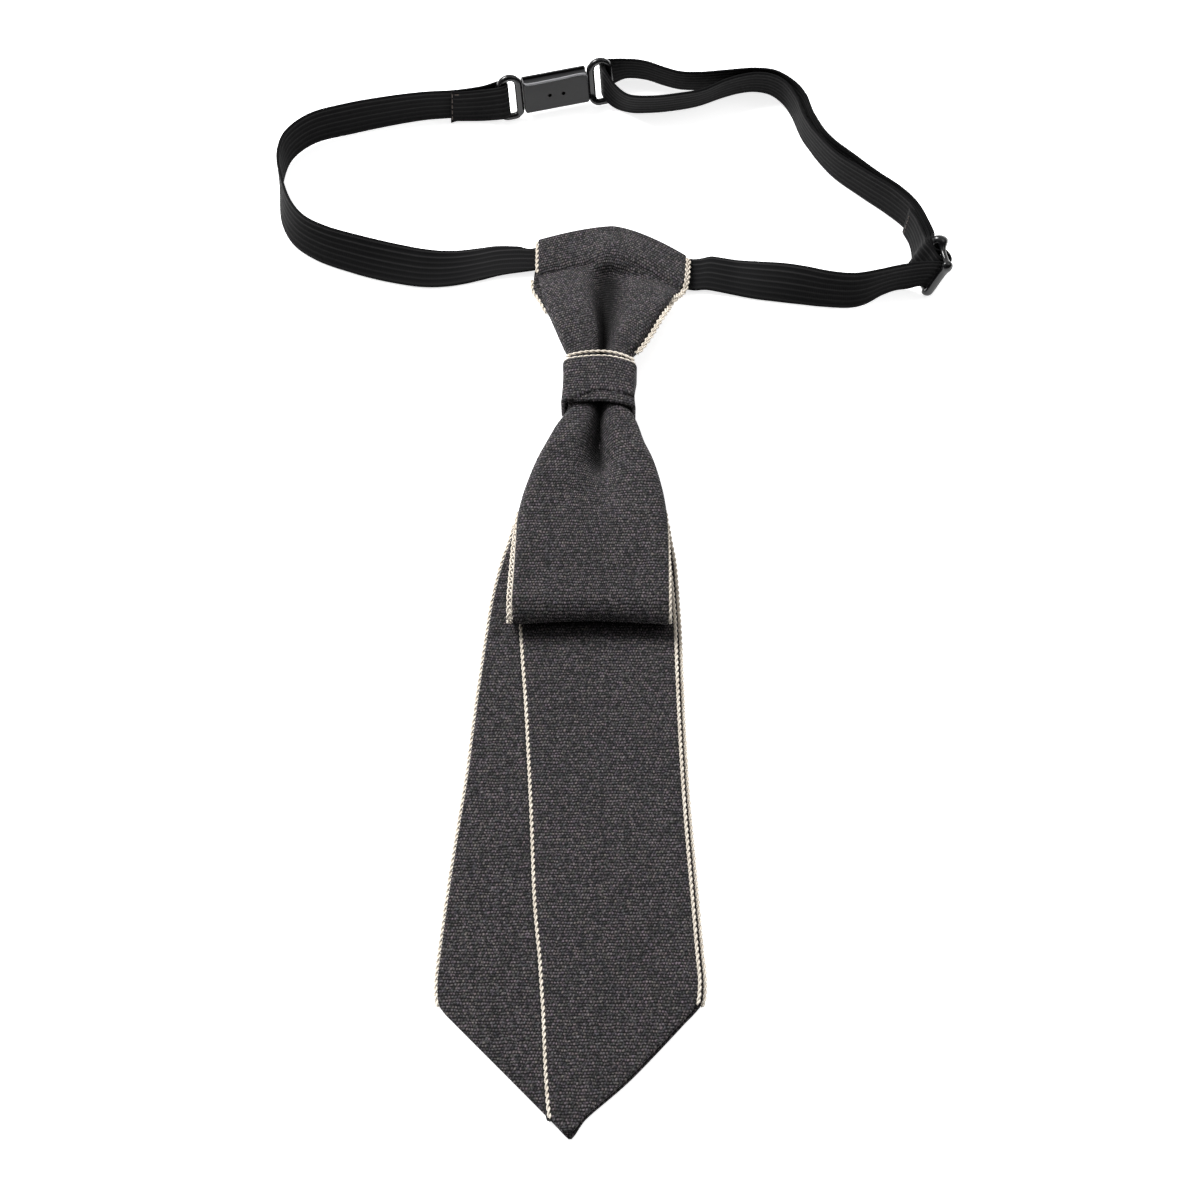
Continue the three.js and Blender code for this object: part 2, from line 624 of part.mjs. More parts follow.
const sliderAlong = flat(SLIDER_HEADING);
const sliderAcross = flat(SLIDER_HEADING + Math.PI / 2).multiplyScalar(Math.sin(SLIDER_LEAN));
sliderAcross.z = Math.cos(SLIDER_LEAN);
const sliderOut = new THREE.Vector3().crossVectors(sliderAlong, sliderAcross);
const sliderFrame = new THREE.Matrix4().makeBasis(sliderAlong, sliderAcross, sliderOut).setPosition(SLIDER_CENTRE);
const sliderSlot = { width: SLIDER_PITCH - SLIDER_BAR, height: ELASTIC_WIDTH + 2 * GAP, corner: 0.8 };
const sliderPlate = slottedPlate(2 * SLIDER_PITCH + SLIDER_BAR, SLIDER_HEIGHT, SLIDER_DEPTH, 2.4, [
  { ...sliderSlot, x: -SLIDER_PITCH / 2 },
  { ...sliderSlot, x: SLIDER_PITCH / 2 },
]);
piece('slider', sliderPlate.applyMatrix4(sliderFrame), gloss);

// The elastic: stations along its middle. tiltX and tiltY are how far its upper edge leans over, so (0, 1) is flat
const station = (centre, across, width = ELASTIC_WIDTH) => ({ centre, across, width });

function stationsOf(rows) {
  return rows.map((row) => {
    const upright = Math.sqrt(Math.max(0, 1 - row.tiltX ** 2 - row.tiltY ** 2));
    const across = new THREE.Vector3(row.tiltX, row.tiltY, upright).normalize();
    const flatness = Math.hypot(across.x, across.y);
    const z = row.lift + (row.width / 2) * across.z + (ELASTIC_THICKNESS / 2) * flatness;
    return station(new THREE.Vector3(row.x, row.y, z), across, row.width);
  });
}

// Stations round a bar: angles in the plane across the bar, from the frame's long axis towards its face
function aroundBar(frame, centreX, radius, first, last, count) {
  const along = new THREE.Vector3().setFromMatrixColumn(frame, 0);
  const across = new THREE.Vector3().setFromMatrixColumn(frame, 1);
  const out = new THREE.Vector3().setFromMatrixColumn(frame, 2);
  const origin = new THREE.Vector3().setFromMatrixPosition(frame);
  const stations = [];
  for (let k = 0; k <= count; k += 1) {
    const angle = THREE.MathUtils.degToRad(mix(first, last, k / count));
    const centre = origin.clone().addScaledVector(along, centreX + radius * Math.cos(angle));
    centre.addScaledVector(out, radius * Math.sin(angle));
    stations.push(station(centre, across));
  }
  return stations;
}

function inFrame(frame, along, out) {
  const centre = new THREE.Vector3(along, 0, out).applyMatrix4(frame);
  return station(centre, new THREE.Vector3().setFromMatrixColumn(frame, 1));
}

function strap(stations) {
  const route = new THREE.CatmullRomCurve3(stations.map((stop) => stop.centre), false, 'centripetal');
  const tilt = new THREE.CatmullRomCurve3(stations.map((stop) => stop.across), false, 'centripetal');
  const grid = [];
  const spans = stations.length - 1;
  for (let k = 0; k < spans; k += 1) {
    const steps = Math.max(1, Math.round(stations[k].centre.distanceTo(stations[k + 1].centre) / 5));
    for (let i = k === 0 ? 0 : 1; i <= steps; i += 1) {
      const t = (k + i / steps) / spans;
      const half = mix(stations[k].width, stations[k + 1].width, i / steps) / 2;
      const centre = route.getPoint(t);
      const across = tilt.getPoint(t).normalize();
      grid.push([centre.clone().addScaledVector(across, -half), centre.clone().addScaledVector(across, half)]);
    }
  }
  return sheet(grid, ELASTIC_THICKNESS);
}

// Inside the casing the elastic lies flat, gathered narrower, along the casing's bowed middle
function casingStation(x) {
  const bow = x < CASING_MIDDLE_X ? CASING_BOW_LEFT : CASING_BOW_RIGHT;
  const away = (x - CASING_MIDDLE_X) / CASING_HALF_LENGTH;
  const y = CASING_TOP - 4.6 - bow * Math.abs(away) ** BOW_POWER;
  const slope = (-BOW_POWER * bow * Math.sign(away) * Math.abs(away) ** (BOW_POWER - 1)) / CASING_HALF_LENGTH;
  return station(new THREE.Vector3(x, y, STRAP_Z), new THREE.Vector3(-slope, 1, 0).normalize(), CASING_WIDTH);
}

const leftRows = table('x y tiltX tiltY lift width', [
  [-24.6, 119.5, -0.12, 0.993, 1.4, 9.8],
  [-31, 119.3, -0.14, 0.99, 0.9, 11],
  [-37, 118.4, -0.2, 0.98, 0.4, 12],
  [-42.5, 117.1, -0.22, 0.97, 0, 12],
  [-48.4, 115.9, -0.13, 0.96, 0, 12],
  [-54.2, 115.6, 0.1, 0.92, 0, 12],
  [-60.5, 116.4, 0.19, 0.86, 0, 12],
  [-67.5, 117.7, 0.21, 0.78, 0, 12],
  [-74.5, 119.4, 0.24, 0.66, 0, 12],
  [-85.3, 123.1, 0.26, 0.48, 0, 12],
  [-92.4, 127.8, 0.31, 0.25, 0, 12],
  [-96.5, 134.4, 0.26, 0.07, 0, 12],
  [-98.7, 143.8, 0.09, 0, 0.12, 12],
  [-99.3, 153, -0.08, 0.01, 0.15, 12],
  [-97.2, 160.6, -0.13, 0.1, 0.15, 12],
  [-90.5, 167.2, -0.1, 0.18, 0.12, 12],
  [-78.8, 171.4, -0.08, 0.22, 0, 12],
  [-64.2, 174.9, -0.04, 0.15, 0, 12],
  [-54.9, 176.5, -0.01, 0.1, 0, 12],
  [-46, 177.2, 0, 0.08, 0.06, 12],
  [-36.6, 178.6, -0.03, 0.12, 0.2, 12],
]);
const BAR_WRAP = 1.85;
const foldedEnd = table('x y tiltX tiltY lift width', [
  [-36.6, 176.5, -0.03, 0.22, 0.3, 12],
  [-46.3, 176.1, 0, 0.14, 0.1, 12],
]);
piece('strap_left', strap([
  ...[-0.3, -7, -14, -20].map(casingStation),
  ...stationsOf(leftRows),
  ...aroundBar(claspFrame, -RING_OUTER, BAR_WRAP, -90, 90, 6),
  ...stationsOf(foldedEnd),
]), elastic);

const frontRows = table('x y tiltX tiltY lift width', [
  [30, 114.2, 0.2, 0.979, 1.1, 10.6],
  [33, 114.2, 0.15, 0.985, 1, 12],
  [36.5, 113.6, 0.08, 0.99, 0.8, 12],
  [41.5, 112.7, 0.12, 0.98, 0.3, 12],
  [48.4, 111, 0.16, 0.92, 0, 12],
  [55, 109.4, 0.15, 0.82, 0, 12],
  [61.4, 107.6, 0.14, 0.66, 0, 12],
  [68.3, 105.8, 0.07, 0.5, 0, 12],
  [75.8, 105, -0.03, 0.42, 0, 12],
  [80, 105.6, -0.03, 0.33, 0, 12],
  [85.4, 107.8, -0.03, 0.09, 0, 12],
  [90, 109.4, 0.04, 0.04, 0, 12],
  [95.3, 110.2, 0.2, 0.1, 0.3, 12],
]);

const farRows = table('x y tiltX tiltY lift width', [
  [100, 121.4, 0.24, 0.06, 0, 12],
  [98.9, 127.2, 0.13, 0.05, 0, 12],
  [96.3, 133.6, 0.1, 0.06, 0, 12],
  [91.8, 139, 0.11, 0.1, 0, 12],
  [85.4, 144.9, 0.07, 0.07, 0, 12],
  [78.6, 151.9, 0.03, 0.03, 0, 12],
  [71.4, 159.6, 0, 0, 0, 12],
  [66.6, 168.8, 0, 0, 0, 12],
  [64.1, 177, 0, 0, 0, 12],
  [61.2, 181.7, -0.02, -0.03, 0, 12],
  [55.6, 186.6, -0.02, -0.13, 0, 12],
  [49, 187.9, 0, -0.17, 0, 12],
  [40.4, 187.3, 0, -0.2, 0, 12],
  [31.5, 186.7, 0, -0.24, 0, 12],
  [25.4, 187, -0.05, -0.24, 0, 12],
  [20.5, 188.6, -0.06, -0.22, 0, 12],
  [14.5, 191.1, -0.04, -0.22, 0, 12],
  [8.8, 191.8, 0, -0.21, 0, 12],
  [4.6, 190.8, -0.03, -0.05, 0, 12],
]);

const nearRows = table('x y tiltX tiltY lift width', [
  [4.8, 180.4, -0.03, -0.05, 0, 12],
  [9, 177.6, -0.02, -0.24, 0, 12],
  [15.9, 177.2, 0, -0.27, 0, 12],
  [24.1, 178.2, 0.04, -0.26, 0, 12],
  [31.7, 180, 0.08, -0.26, 0, 12],
  [39.2, 183.6, 0.05, -0.22, 0, 12],
  [44.6, 185.5, 0.02, -0.22, 0, 12],
  [49.2, 186.2, -0.02, -0.2, 0, 12],
  [54, 185.3, -0.03, -0.15, 0, 12],
  [58.1, 182.1, -0.02, -0.05, 0, 12],
  [61.2, 176.5, 0, 0, 0, 12],
  [63.9, 167.9, 0, 0, 0, 12],
  [67.3, 161.3, 0, 0, 0, 12],
  [73, 153.2, 0.02, 0.02, 0, 12],
  [82.1, 145.2, 0.07, 0.07, 0, 12],
  [89.9, 138.7, 0.11, 0.1, 0, 12],
  [95, 132.9, 0.1, 0.06, 0, 12],
  [97.6, 126.9, 0.13, 0.05, 0, 12],
  [98.7, 121.2, 0.24, 0.06, 0, 12],
]);

const sewnEnd = table('x y tiltX tiltY lift width', [
  [97.4, 121, 0.24, 0.06, 0, 12],
  [96.3, 126.6, 0.13, 0.05, 0, 12],
  [94.2, 131.5, 0.1, 0.05, 0, 12],
]);
const SEWN_WRAP = 1.75;
const OVER_WRAP = SEWN_WRAP + ELASTIC_THICKNESS + GAP;
piece('strap_right', strap([
  ...[0.3, 8, 15, 22, 27.4].map(casingStation),
  ...stationsOf(frontRows),
  inFrame(sliderFrame, -2.8, -2),
  ...aroundBar(sliderFrame, 0, OVER_WRAP, 180, 0, 6),
  ...aroundBar(sliderFrame, SLIDER_PITCH, SEWN_WRAP, 225, 270, 1),
  inFrame(sliderFrame, 6.6, -1.75),
  ...stationsOf(farRows),
  inFrame(claspFrame, RING_OUTER - BAR_WRAP + 0.4, -2.6),
  inFrame(claspFrame, RING_OUTER - BAR_WRAP, 0),
  inFrame(claspFrame, RING_OUTER - BAR_WRAP + 0.4, 2.6),
  ...stationsOf(nearRows),
  inFrame(sliderFrame, 5.4, -3),
  inFrame(sliderFrame, 3.2, -2.4),
  inFrame(sliderFrame, 2, -1.4),
  ...aroundBar(sliderFrame, 0, SEWN_WRAP, 0, 250, 8),
  inFrame(sliderFrame, 1.6, -2.5),
  inFrame(sliderFrame, 4.2, -4),
  ...stationsOf(sewnEnd),
]), elastic);

// The origin is the middle of the bottom of the whole tie
const extent = new THREE.Box3().setFromObject(tie);
const centre = extent.getCenter(new THREE.Vector3());
tie.position.set(-centre.x, -centre.y, -extent.min.z);

export default tie;
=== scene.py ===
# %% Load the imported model
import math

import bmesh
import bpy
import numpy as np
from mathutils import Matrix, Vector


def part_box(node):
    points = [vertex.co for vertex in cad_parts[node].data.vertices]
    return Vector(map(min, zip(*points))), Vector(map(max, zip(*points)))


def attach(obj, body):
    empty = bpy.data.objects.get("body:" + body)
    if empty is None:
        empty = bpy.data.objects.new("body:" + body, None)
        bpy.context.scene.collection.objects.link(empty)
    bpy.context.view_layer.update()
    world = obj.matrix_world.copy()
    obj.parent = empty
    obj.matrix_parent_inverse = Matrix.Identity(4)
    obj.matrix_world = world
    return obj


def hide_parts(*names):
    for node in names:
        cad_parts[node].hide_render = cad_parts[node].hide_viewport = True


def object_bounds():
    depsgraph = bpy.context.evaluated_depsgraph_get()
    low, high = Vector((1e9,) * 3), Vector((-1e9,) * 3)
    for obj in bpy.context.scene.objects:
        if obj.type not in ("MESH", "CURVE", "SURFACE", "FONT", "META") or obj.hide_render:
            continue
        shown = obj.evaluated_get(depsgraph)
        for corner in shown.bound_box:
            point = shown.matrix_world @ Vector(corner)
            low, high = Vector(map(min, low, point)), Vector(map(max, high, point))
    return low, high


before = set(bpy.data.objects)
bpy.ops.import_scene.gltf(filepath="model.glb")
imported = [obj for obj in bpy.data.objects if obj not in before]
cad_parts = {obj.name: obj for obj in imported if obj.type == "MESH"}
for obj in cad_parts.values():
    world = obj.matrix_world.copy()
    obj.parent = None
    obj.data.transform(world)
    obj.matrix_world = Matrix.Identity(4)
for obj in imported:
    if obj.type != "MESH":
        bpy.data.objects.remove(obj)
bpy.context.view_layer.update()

# %% [markdown]
# # A pre-tied necktie on an elastic strap
# The tie lies on a white table with its tail towards us. Everything that was sewn from cloth or
# elastic is made again here in fine detail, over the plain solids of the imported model. We work in
# millimetres measured from the point of the table at the middle of the picture, because that is how
# a tailor would note the sizes, and turn them into Blender's metres at the very end.

# %% [markdown]
# ## From the table to the scene
# The tail's lower panel is the widest near its foot and ends in a tip. Those two places are known on
# the table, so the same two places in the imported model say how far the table's zero point lies from
# the scene's.

# %% The table's zero point
TAIL_LEFT = -43.0
TAIL_TIP = -160.3
tail_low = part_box("tail_under")[0]
SHIFT = np.array([1000 * tail_low.x - TAIL_LEFT, 1000 * tail_low.y - TAIL_TIP, 1000 * tail_low.z])
print("table zero in the scene:", SHIFT.round(2), "mm")


def to_scene(points):
    return (np.asarray(points, float) + SHIFT) / 1000


# %% [markdown]
# ## The camera
# The picture was taken from about 80 cm away, 60 degrees above the table, with a long lens. A camera
# that starts out looking straight down is tipped up by the remaining 30 degrees.

# %% Camera
CAMERA_AWAY = 800.0
CAMERA_HEIGHT = math.radians(60)
SENSOR_WIDTH = 36
LENS = 84
camera = bpy.data.objects.new("camera", bpy.data.cameras.new("camera"))
bpy.context.scene.collection.objects.link(camera)
camera.data.sensor_width = SENSOR_WIDTH
camera.data.lens = LENS
camera.location = to_scene(
    [0, -CAMERA_AWAY * math.cos(CAMERA_HEIGHT), CAMERA_AWAY * math.sin(CAMERA_HEIGHT)]
)
camera.rotation_euler = (math.pi / 2 - CAMERA_HEIGHT, 0, 0)
bpy.context.scene.camera = camera
print("camera at", [round(v, 3) for v in camera.location])

# %% [markdown]
# ## Shader helpers
# Materials are built from nodes. These helpers place a node, set its plain values and join it to
# others, so each material below reads like a recipe.

# %% Node helpers
def node(tree, kind, **values):
    made = tree.nodes.new(kind)
    for name, value in values.items():
        setattr(made, name, value)
    return made


def put(tree, made, **sockets):
    for name, value in sockets.items():
        by_number = name[0] == "i" and name[1:].isdigit()
        socket = made.inputs[int(name[1:]) if by_number else name]
        if isinstance(value, bpy.types.NodeSocket):
            tree.links.new(value, socket)
        else:
            socket.default_value = value
    return made


def maths(tree, operation, a, b=0.0, c=0.0):
    made = node(tree, "ShaderNodeMath", operation=operation)
    put(tree, made, i0=a, i1=b, i2=c)
    return made.outputs[0]


def colour_mix(tree, share, a, b, blend="MIX"):
    made = node(tree, "ShaderNodeMix", data_type="RGBA", blend_type=blend)
    put(tree, made, i0=share, i6=a, i7=b)
    return made.outputs[2]


def smooth_mask(tree, value, low, high, least=0.0, most=1.0):
    ramp = node(tree, "ShaderNodeMapRange", interpolation_type="SMOOTHSTEP")
    put(tree, ramp, i0=value, i1=low, i2=high, i3=least, i4=most)
    return ramp.outputs[0]


def noise(tree, place, scale, detail):
    made = node(tree, "ShaderNodeTexNoise")
    put(tree, made, Vector=place, Scale=scale, Detail=detail)
    return made.outputs[0]


# %% Helpers for a whole group or material
def group(name, inputs, outputs):
    tree = bpy.data.node_groups.new(name, "ShaderNodeTree")
    for label, kind, value in inputs:
        made = tree.interface.new_socket(name=label, in_out="INPUT", socket_type=kind)
        if value is not None:
            made.default_value = value
    for label, kind in outputs:
        tree.interface.new_socket(name=label, in_out="OUTPUT", socket_type=kind)
    return tree, node(tree, "NodeGroupInput"), node(tree, "NodeGroupOutput")


def new_material(name):
    material = bpy.data.materials.new(name)
    material.use_nodes = True
    tree = material.node_tree
    return material, tree, tree.nodes["Principled BSDF"]


def dress(tree, shader, colour, roughness, relief, **plain):
    height, strength, distance = relief
    bump = node(tree, "ShaderNodeBump")
    put(tree, bump, Height=height, Strength=strength, Distance=distance)
    put(tree, shader, Roughness=roughness, Normal=bump.outputs[0], **{"Base Color": colour})
    for name, value in plain.items():
        shader.inputs[name.replace("_", " ")].default_value = value


# %% [markdown]
# ## Table top and light
# The tie lies on a plain white surface with hardly any shadow, as on a photographer's light table
# that glows a little by itself. The room is bright behind the table and darker on our side, so cloth
# that turns towards us goes dark. A soft lamp behind and to the left shapes the folds, and a weak one
# on the right reaches the sides that the first one misses.

# %% Table top
TABLE_REACH = 30.0
TABLE_BELOW = 0.0002
TABLE_GLOW = 0.78


def plain_material(name, colour, roughness):
    material, tree, shader = new_material(name)
    put(tree, shader, Roughness=roughness, **{"Base Color": (*colour, 1)})
    return material


table_mesh = bpy.data.meshes.new("table_top")
corners = [(-1, -1), (1, -1), (1, 1), (-1, 1)]
table_mesh.from_pydata([(x * TABLE_REACH, y * TABLE_REACH, 0) for x, y in corners], [], [(0, 1, 2, 3)])
table_top = bpy.data.objects.new("table_top", table_mesh)
bpy.context.scene.collection.objects.link(table_top)
table_top.location.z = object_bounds()[0][2] - TABLE_BELOW
white_table = plain_material("white_table", (0.92, 0.92, 0.92), 0.9)
glow = white_table.node_tree.nodes["Principled BSDF"]
glow.inputs["Emission Color"].default_value = (1, 1, 1, 1)
glow.inputs["Emission Strength"].default_value = TABLE_GLOW
table_mesh.materials.append(white_table)
print("table top at", round(1000 * table_top.location.z, 2), "mm")

# %% Sky
SKY_BRIGHT_SIDE = (-0.2, 0.86, 0.47)
SKY_DIM = 0.04
SKY_BRIGHT = 0.78

scene = bpy.context.scene
scene.view_settings.view_transform = "Standard"
scene.world = bpy.data.worlds.new("studio")
scene.world.use_nodes = True
sky_tree = scene.world.node_tree
sky_place = node(sky_tree, "ShaderNodeTexCoord")
facing_back = node(sky_tree, "ShaderNodeVectorMath", operation="DOT_PRODUCT")
put(sky_tree, facing_back, i0=sky_place.outputs["Generated"], i1=SKY_BRIGHT_SIDE)
sky_level = smooth_mask(sky_tree, facing_back.outputs["Value"], -0.3, 0.9, SKY_DIM, SKY_BRIGHT)
put(sky_tree, sky_tree.nodes["Background"], Color=(1, 1, 1, 1), Strength=sky_level)


# %% Lamps
def lamp(name, spot, size, power):
    light = bpy.data.lights.new(name, "AREA")
    light.size = size
    light.energy = power
    holder = bpy.data.objects.new(name, light)
    bpy.context.scene.collection.objects.link(holder)
    holder.location = spot
    holder.rotation_euler = (-Vector(spot)).to_track_quat("-Z", "Y").to_euler()


lamp("main_lamp", spot=(-0.66, 0.66, 1.02), size=0.55, power=30)
lamp("side_lamp", spot=(0.9, 0.2, 0.9), size=0.6, power=1.5)
print("two lamps and a sky that is brighter behind the table")

# %% [markdown]
# ## Cloth as rows of points
# A piece of cloth is a stack of rows. A few rows are noted, with their left and right ends,
# and the rows between are found by a curve that goes smoothly through them and never overshoots.

# %% Rows between the noted rows
def slopes(rows):
    slope = np.zeros_like(rows)
    before = rows[1:-1] - rows[:-2]
    after = rows[2:] - rows[1:-1]
    same_way = before * after > 0
    slope[1:-1] = np.where(same_way, 2 * before * after / np.where(same_way, before + after, 1), 0)
    return slope


def refine(rows, longest):
    rows = np.array(rows, float)
    slope = slopes(rows)
    fine = [rows[0]]
    for k in range(len(rows) - 1):
        steps = max(1, round(abs(rows[k + 1][0] - rows[k][0]) / longest))
        for i in range(1, steps + 1):
            t = i / steps
            ends = rows[k] * (1 + 2 * t) * (1 - t) ** 2 + rows[k + 1] * t * t * (3 - 2 * t)
            fine.append(ends + slope[k] * t * (1 - t) ** 2 - slope[k + 1] * t * t * (1 - t))
    return np.array(fine)


def mix(a, b, t):
    return a + (b - a) * t


def smoothstep(start, end, value):
    t = np.clip((value - start) / (end - start), 0, 1)
    return t * t * (3 - 2 * t)


# %% [markdown]
# ## Layers
# The cloth is 1.1 mm thick. Behind the gathered front, four layers of it go through the knot: the back
# of the fan, the two panels of the tail and the back of the loop. Outside the knot they lie one on
# another from the table up, and inside it they climb above the band's own back.

# %% Sizes
GAP = 0.3
CLOTH = 1.1
LAYER = CLOTH + GAP
BAND_WALL = 1.2
BAND_HEIGHT = 14.0
BAND_HALF_WIDTH = 11.0
BAND_CORNER = 4.0
KNOT_TOP = 75.0
KNOT_BOTTOM = 59.3
KNOT_HALF = 8.4
KNOT_SKEW = 0.5


def on_table(layer):
    return CLOTH / 2 + layer * LAYER


def in_knot(layer):
    return BAND_WALL + GAP + CLOTH / 2 + layer * LAYER


def tail_rise(y):
    return smoothstep(29, 55, y)


def head_rise(y):
    return smoothstep(89, 78, y)


# %% [markdown]
# ## From rows to a closed mesh
# Each row gets its points, then the sheet gets its thickness: one skin above the rows, one below, and
# the thickness runs out to nothing in a half circle at the edges, as a folded hem does. Each point
# also remembers how far along the cloth it lies, in both directions, so that the weave can follow
# the folds later.

# %% Spread of points across a row
EDGE_STEPS = [0.0, 0.04, 0.13, 0.28, 0.5]


def spread(total, count):
    inner = np.linspace(EDGE_STEPS[-1], total - EDGE_STEPS[-1], count)
    start = np.array(EDGE_STEPS[:-1])
    return np.concatenate([start, inner, total - start[::-1]])


def directions(grid, ring=False):
    if ring:
        along = np.roll(grid, -1, 0) - np.roll(grid, 1, 0)
    else:
        along = np.gradient(grid, axis=0)
    across = np.gradient(grid, axis=1)
    normal = np.cross(across, along)
    return normal / np.maximum(np.linalg.norm(normal, axis=2, keepdims=True), 1e-9)


def path_length(grid, axis):
    step = np.linalg.norm(np.diff(grid, axis=axis), axis=2)
    pad = [(1, 0), (0, 0)] if axis == 0 else [(0, 0), (1, 0)]
    return np.cumsum(np.pad(step, pad), axis=axis)


def run_length(points):
    return np.concatenate([[0], np.cumsum(np.linalg.norm(np.diff(points, axis=0), axis=1))])


# %% Thickness that runs out at the edges
def rim(distance, half):
    inside = np.clip(distance / half, 0, 1)
    return np.sqrt(np.maximum(0, 1 - (1 - inside) ** 2))


def skins(grid, thickness, ring, round_ends):
    half = thickness / 2
    across = path_length(grid, 1)
    shape = rim(across, half) * rim(across[:, -1:] - across, half)
    if round_ends:
        along = path_length(grid, 0)
        shape = shape * rim(along, half) * rim(along[-1:] - along, half)
    offset = directions(grid, ring) * (half * shape)[..., None]
    return grid + offset, grid - offset


# %% A closed mesh from two skins
def grid_faces(rows, columns, start, ring, flip):
    faces = []
    for i in range(rows if ring else rows - 1):
        a = start + i * columns
        b = start + ((i + 1) % rows) * columns
        for j in range(columns - 1):
            quad = (a + j, a + j + 1, b + j + 1, b + j)
            faces.append(quad[::-1] if flip else quad)
    return faces


WELD = 2e-6
NO_LENGTH = 1e-7


def new_piece(name, points, faces, material, uv=None):
    mesh = bpy.data.meshes.new(name)
    mesh.from_pydata([tuple(p) for p in to_scene(points)], [], faces)
    if uv is not None:
        layer = mesh.uv_layers.new(name="cloth")
        corners = np.zeros(len(mesh.loops), int)
        mesh.loops.foreach_get("vertex_index", corners)
        layer.data.foreach_set("uv", np.asarray(uv, float)[corners].ravel())
    form = bmesh.new()
    form.from_mesh(mesh)
    bmesh.ops.remove_doubles(form, verts=form.verts, dist=WELD)
    bmesh.ops.dissolve_degenerate(form, edges=form.edges, dist=NO_LENGTH)
    bmesh.ops.recalc_face_normals(form, faces=form.faces)
    for face in form.faces:
        face.smooth = True
    form.to_mesh(mesh)
    form.free()
    mesh.materials.append(material)
    piece = bpy.data.objects.new(name, mesh)
    bpy.context.scene.collection.objects.link(piece)
    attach(piece, "root")
    print(name, len(mesh.polygons), "faces")
    return piece


# %% A piece of cloth from its grid
UV_SCALE = 0.01


def cloth_piece(name, grid, thickness, material, weave, ring=False, round_ends=True):
    rows, columns = grid.shape[:2]
    upper, lower = skins(grid, thickness, ring, round_ends and not ring)
    points = np.concatenate([upper.reshape(-1, 3), lower.reshape(-1, 3)])
    faces = grid_faces(rows, columns, 0, ring, False)
    faces += grid_faces(rows, columns, rows * columns, ring, True)
    uv = np.concatenate([weave.reshape(-1, 2)] * 2) * UV_SCALE
    return new_piece(name, points, faces, material, uv)


# %% [markdown]
# ## The weave
# Charcoal suiting is a fine weave of dark yarns with paler flecks. From close by it is a field of
# small bright points in even rows on a nearly black ground, some points reddish and some bluish. The
# group lays yarn tops in rows, each row shifted by half a step like bricks. Every yarn top gets its
# own brightness and tint from a noise of one value per cell, and the tops also give the height for
# the bumps. A second group paints shade into the cloth's colour along a deep fold, where little light
# gets in. A third gives the cloth, the thread and the plastic parts a fine grain and a broad one.

# %% Weave group
def weave_group():
    tree, given, result = group(
        "weave",
        [(label, "NodeSocketFloat", 0.0) for label in ("Pitch", "Row")],
        [(label, "NodeSocketFloat") for label in ("Ground", "Speckle", "Height")]
        + [("Tint", "NodeSocketColor")],
    )
    place = node(tree, "ShaderNodeUVMap", uv_map="cloth")
    drift = noise(tree, place.outputs[0], 30.0, 3.0)
    split = put(tree, node(tree, "ShaderNodeSeparateXYZ"), Vector=place.outputs[0])
    wobble = maths(tree, "MULTIPLY", drift, 0.012)
    u = maths(tree, "ADD", split.outputs[0], wobble)
    v = maths(tree, "ADD", split.outputs[1], wobble)
    v = maths(tree, "DIVIDE", v, given.outputs["Row"])
    row = maths(tree, "FLOOR", v)
    shift = maths(tree, "MULTIPLY", maths(tree, "MODULO", maths(tree, "ABSOLUTE", row), 2.0), 0.5)
    u = maths(tree, "ADD", maths(tree, "DIVIDE", u, given.outputs["Pitch"]), shift)
    cell = put(tree, node(tree, "ShaderNodeCombineXYZ"), X=maths(tree, "FLOOR", u), Y=row)
    random_cell = node(tree, "ShaderNodeTexWhiteNoise", noise_dimensions="3D")
    put(tree, random_cell, Vector=cell.outputs[0])
    bulge_u = maths(tree, "SINE", maths(tree, "MULTIPLY", maths(tree, "FRACT", u), math.pi))
    bulge_v = maths(tree, "SINE", maths(tree, "MULTIPLY", maths(tree, "FRACT", v), math.pi))
    dome = maths(tree, "MULTIPLY", bulge_u, bulge_v)
    lively = maths(tree, "MULTIPLY_ADD", maths(tree, "POWER", random_cell.outputs[0], 1.4), 0.7, 0.12)
    speckle = maths(tree, "MULTIPLY", maths(tree, "POWER", dome, 1.7), lively)
    height = maths(tree, "MULTIPLY_ADD", dome, 0.75, maths(tree, "MULTIPLY", bulge_v, 0.25))
    put(tree, result, Ground=bulge_v, Speckle=speckle, Tint=random_cell.outputs[1], Height=height)
    return tree


WEAVE = weave_group()
print("weave group has", len(WEAVE.nodes), "nodes")


# %% Group that paints shade along a deep fold
def painted_fold_shade_group():
    labels = ("Middle", "Left", "Right", "Start", "End", "Soft")
    tree, given, result = group(
        "painted_fold_shade",
        [(label, "NodeSocketFloat", 0.1) for label in labels],
        [("Shade", "NodeSocketFloat")],
    )
    place = node(tree, "ShaderNodeUVMap", uv_map="cloth")
    split = put(tree, node(tree, "ShaderNodeSeparateXYZ"), Vector=place.outputs[0])
    middle, left, right, start, end, soft = [given.outputs[label] for label in labels]
    off = maths(tree, "SUBTRACT", split.outputs[0], middle)
    to_left = maths(tree, "DIVIDE", maths(tree, "MULTIPLY", off, -1.0), left)
    sideways = maths(tree, "MAXIMUM", to_left, maths(tree, "DIVIDE", off, right))
    before = maths(tree, "SUBTRACT", start, split.outputs[1])
    after = maths(tree, "SUBTRACT", split.outputs[1], end)
    beyond = maths(tree, "MAXIMUM", maths(tree, "MAXIMUM", before, after), 0.0)
    beyond = maths(tree, "DIVIDE", beyond, soft)
    squares = maths(tree, "MULTIPLY", beyond, beyond)
    squares = maths(tree, "ADD", maths(tree, "MULTIPLY", sideways, sideways), squares)
    put(tree, result, Shade=smooth_mask(tree, maths(tree, "SQRT", squares), 1.0, 0.2))
    return tree


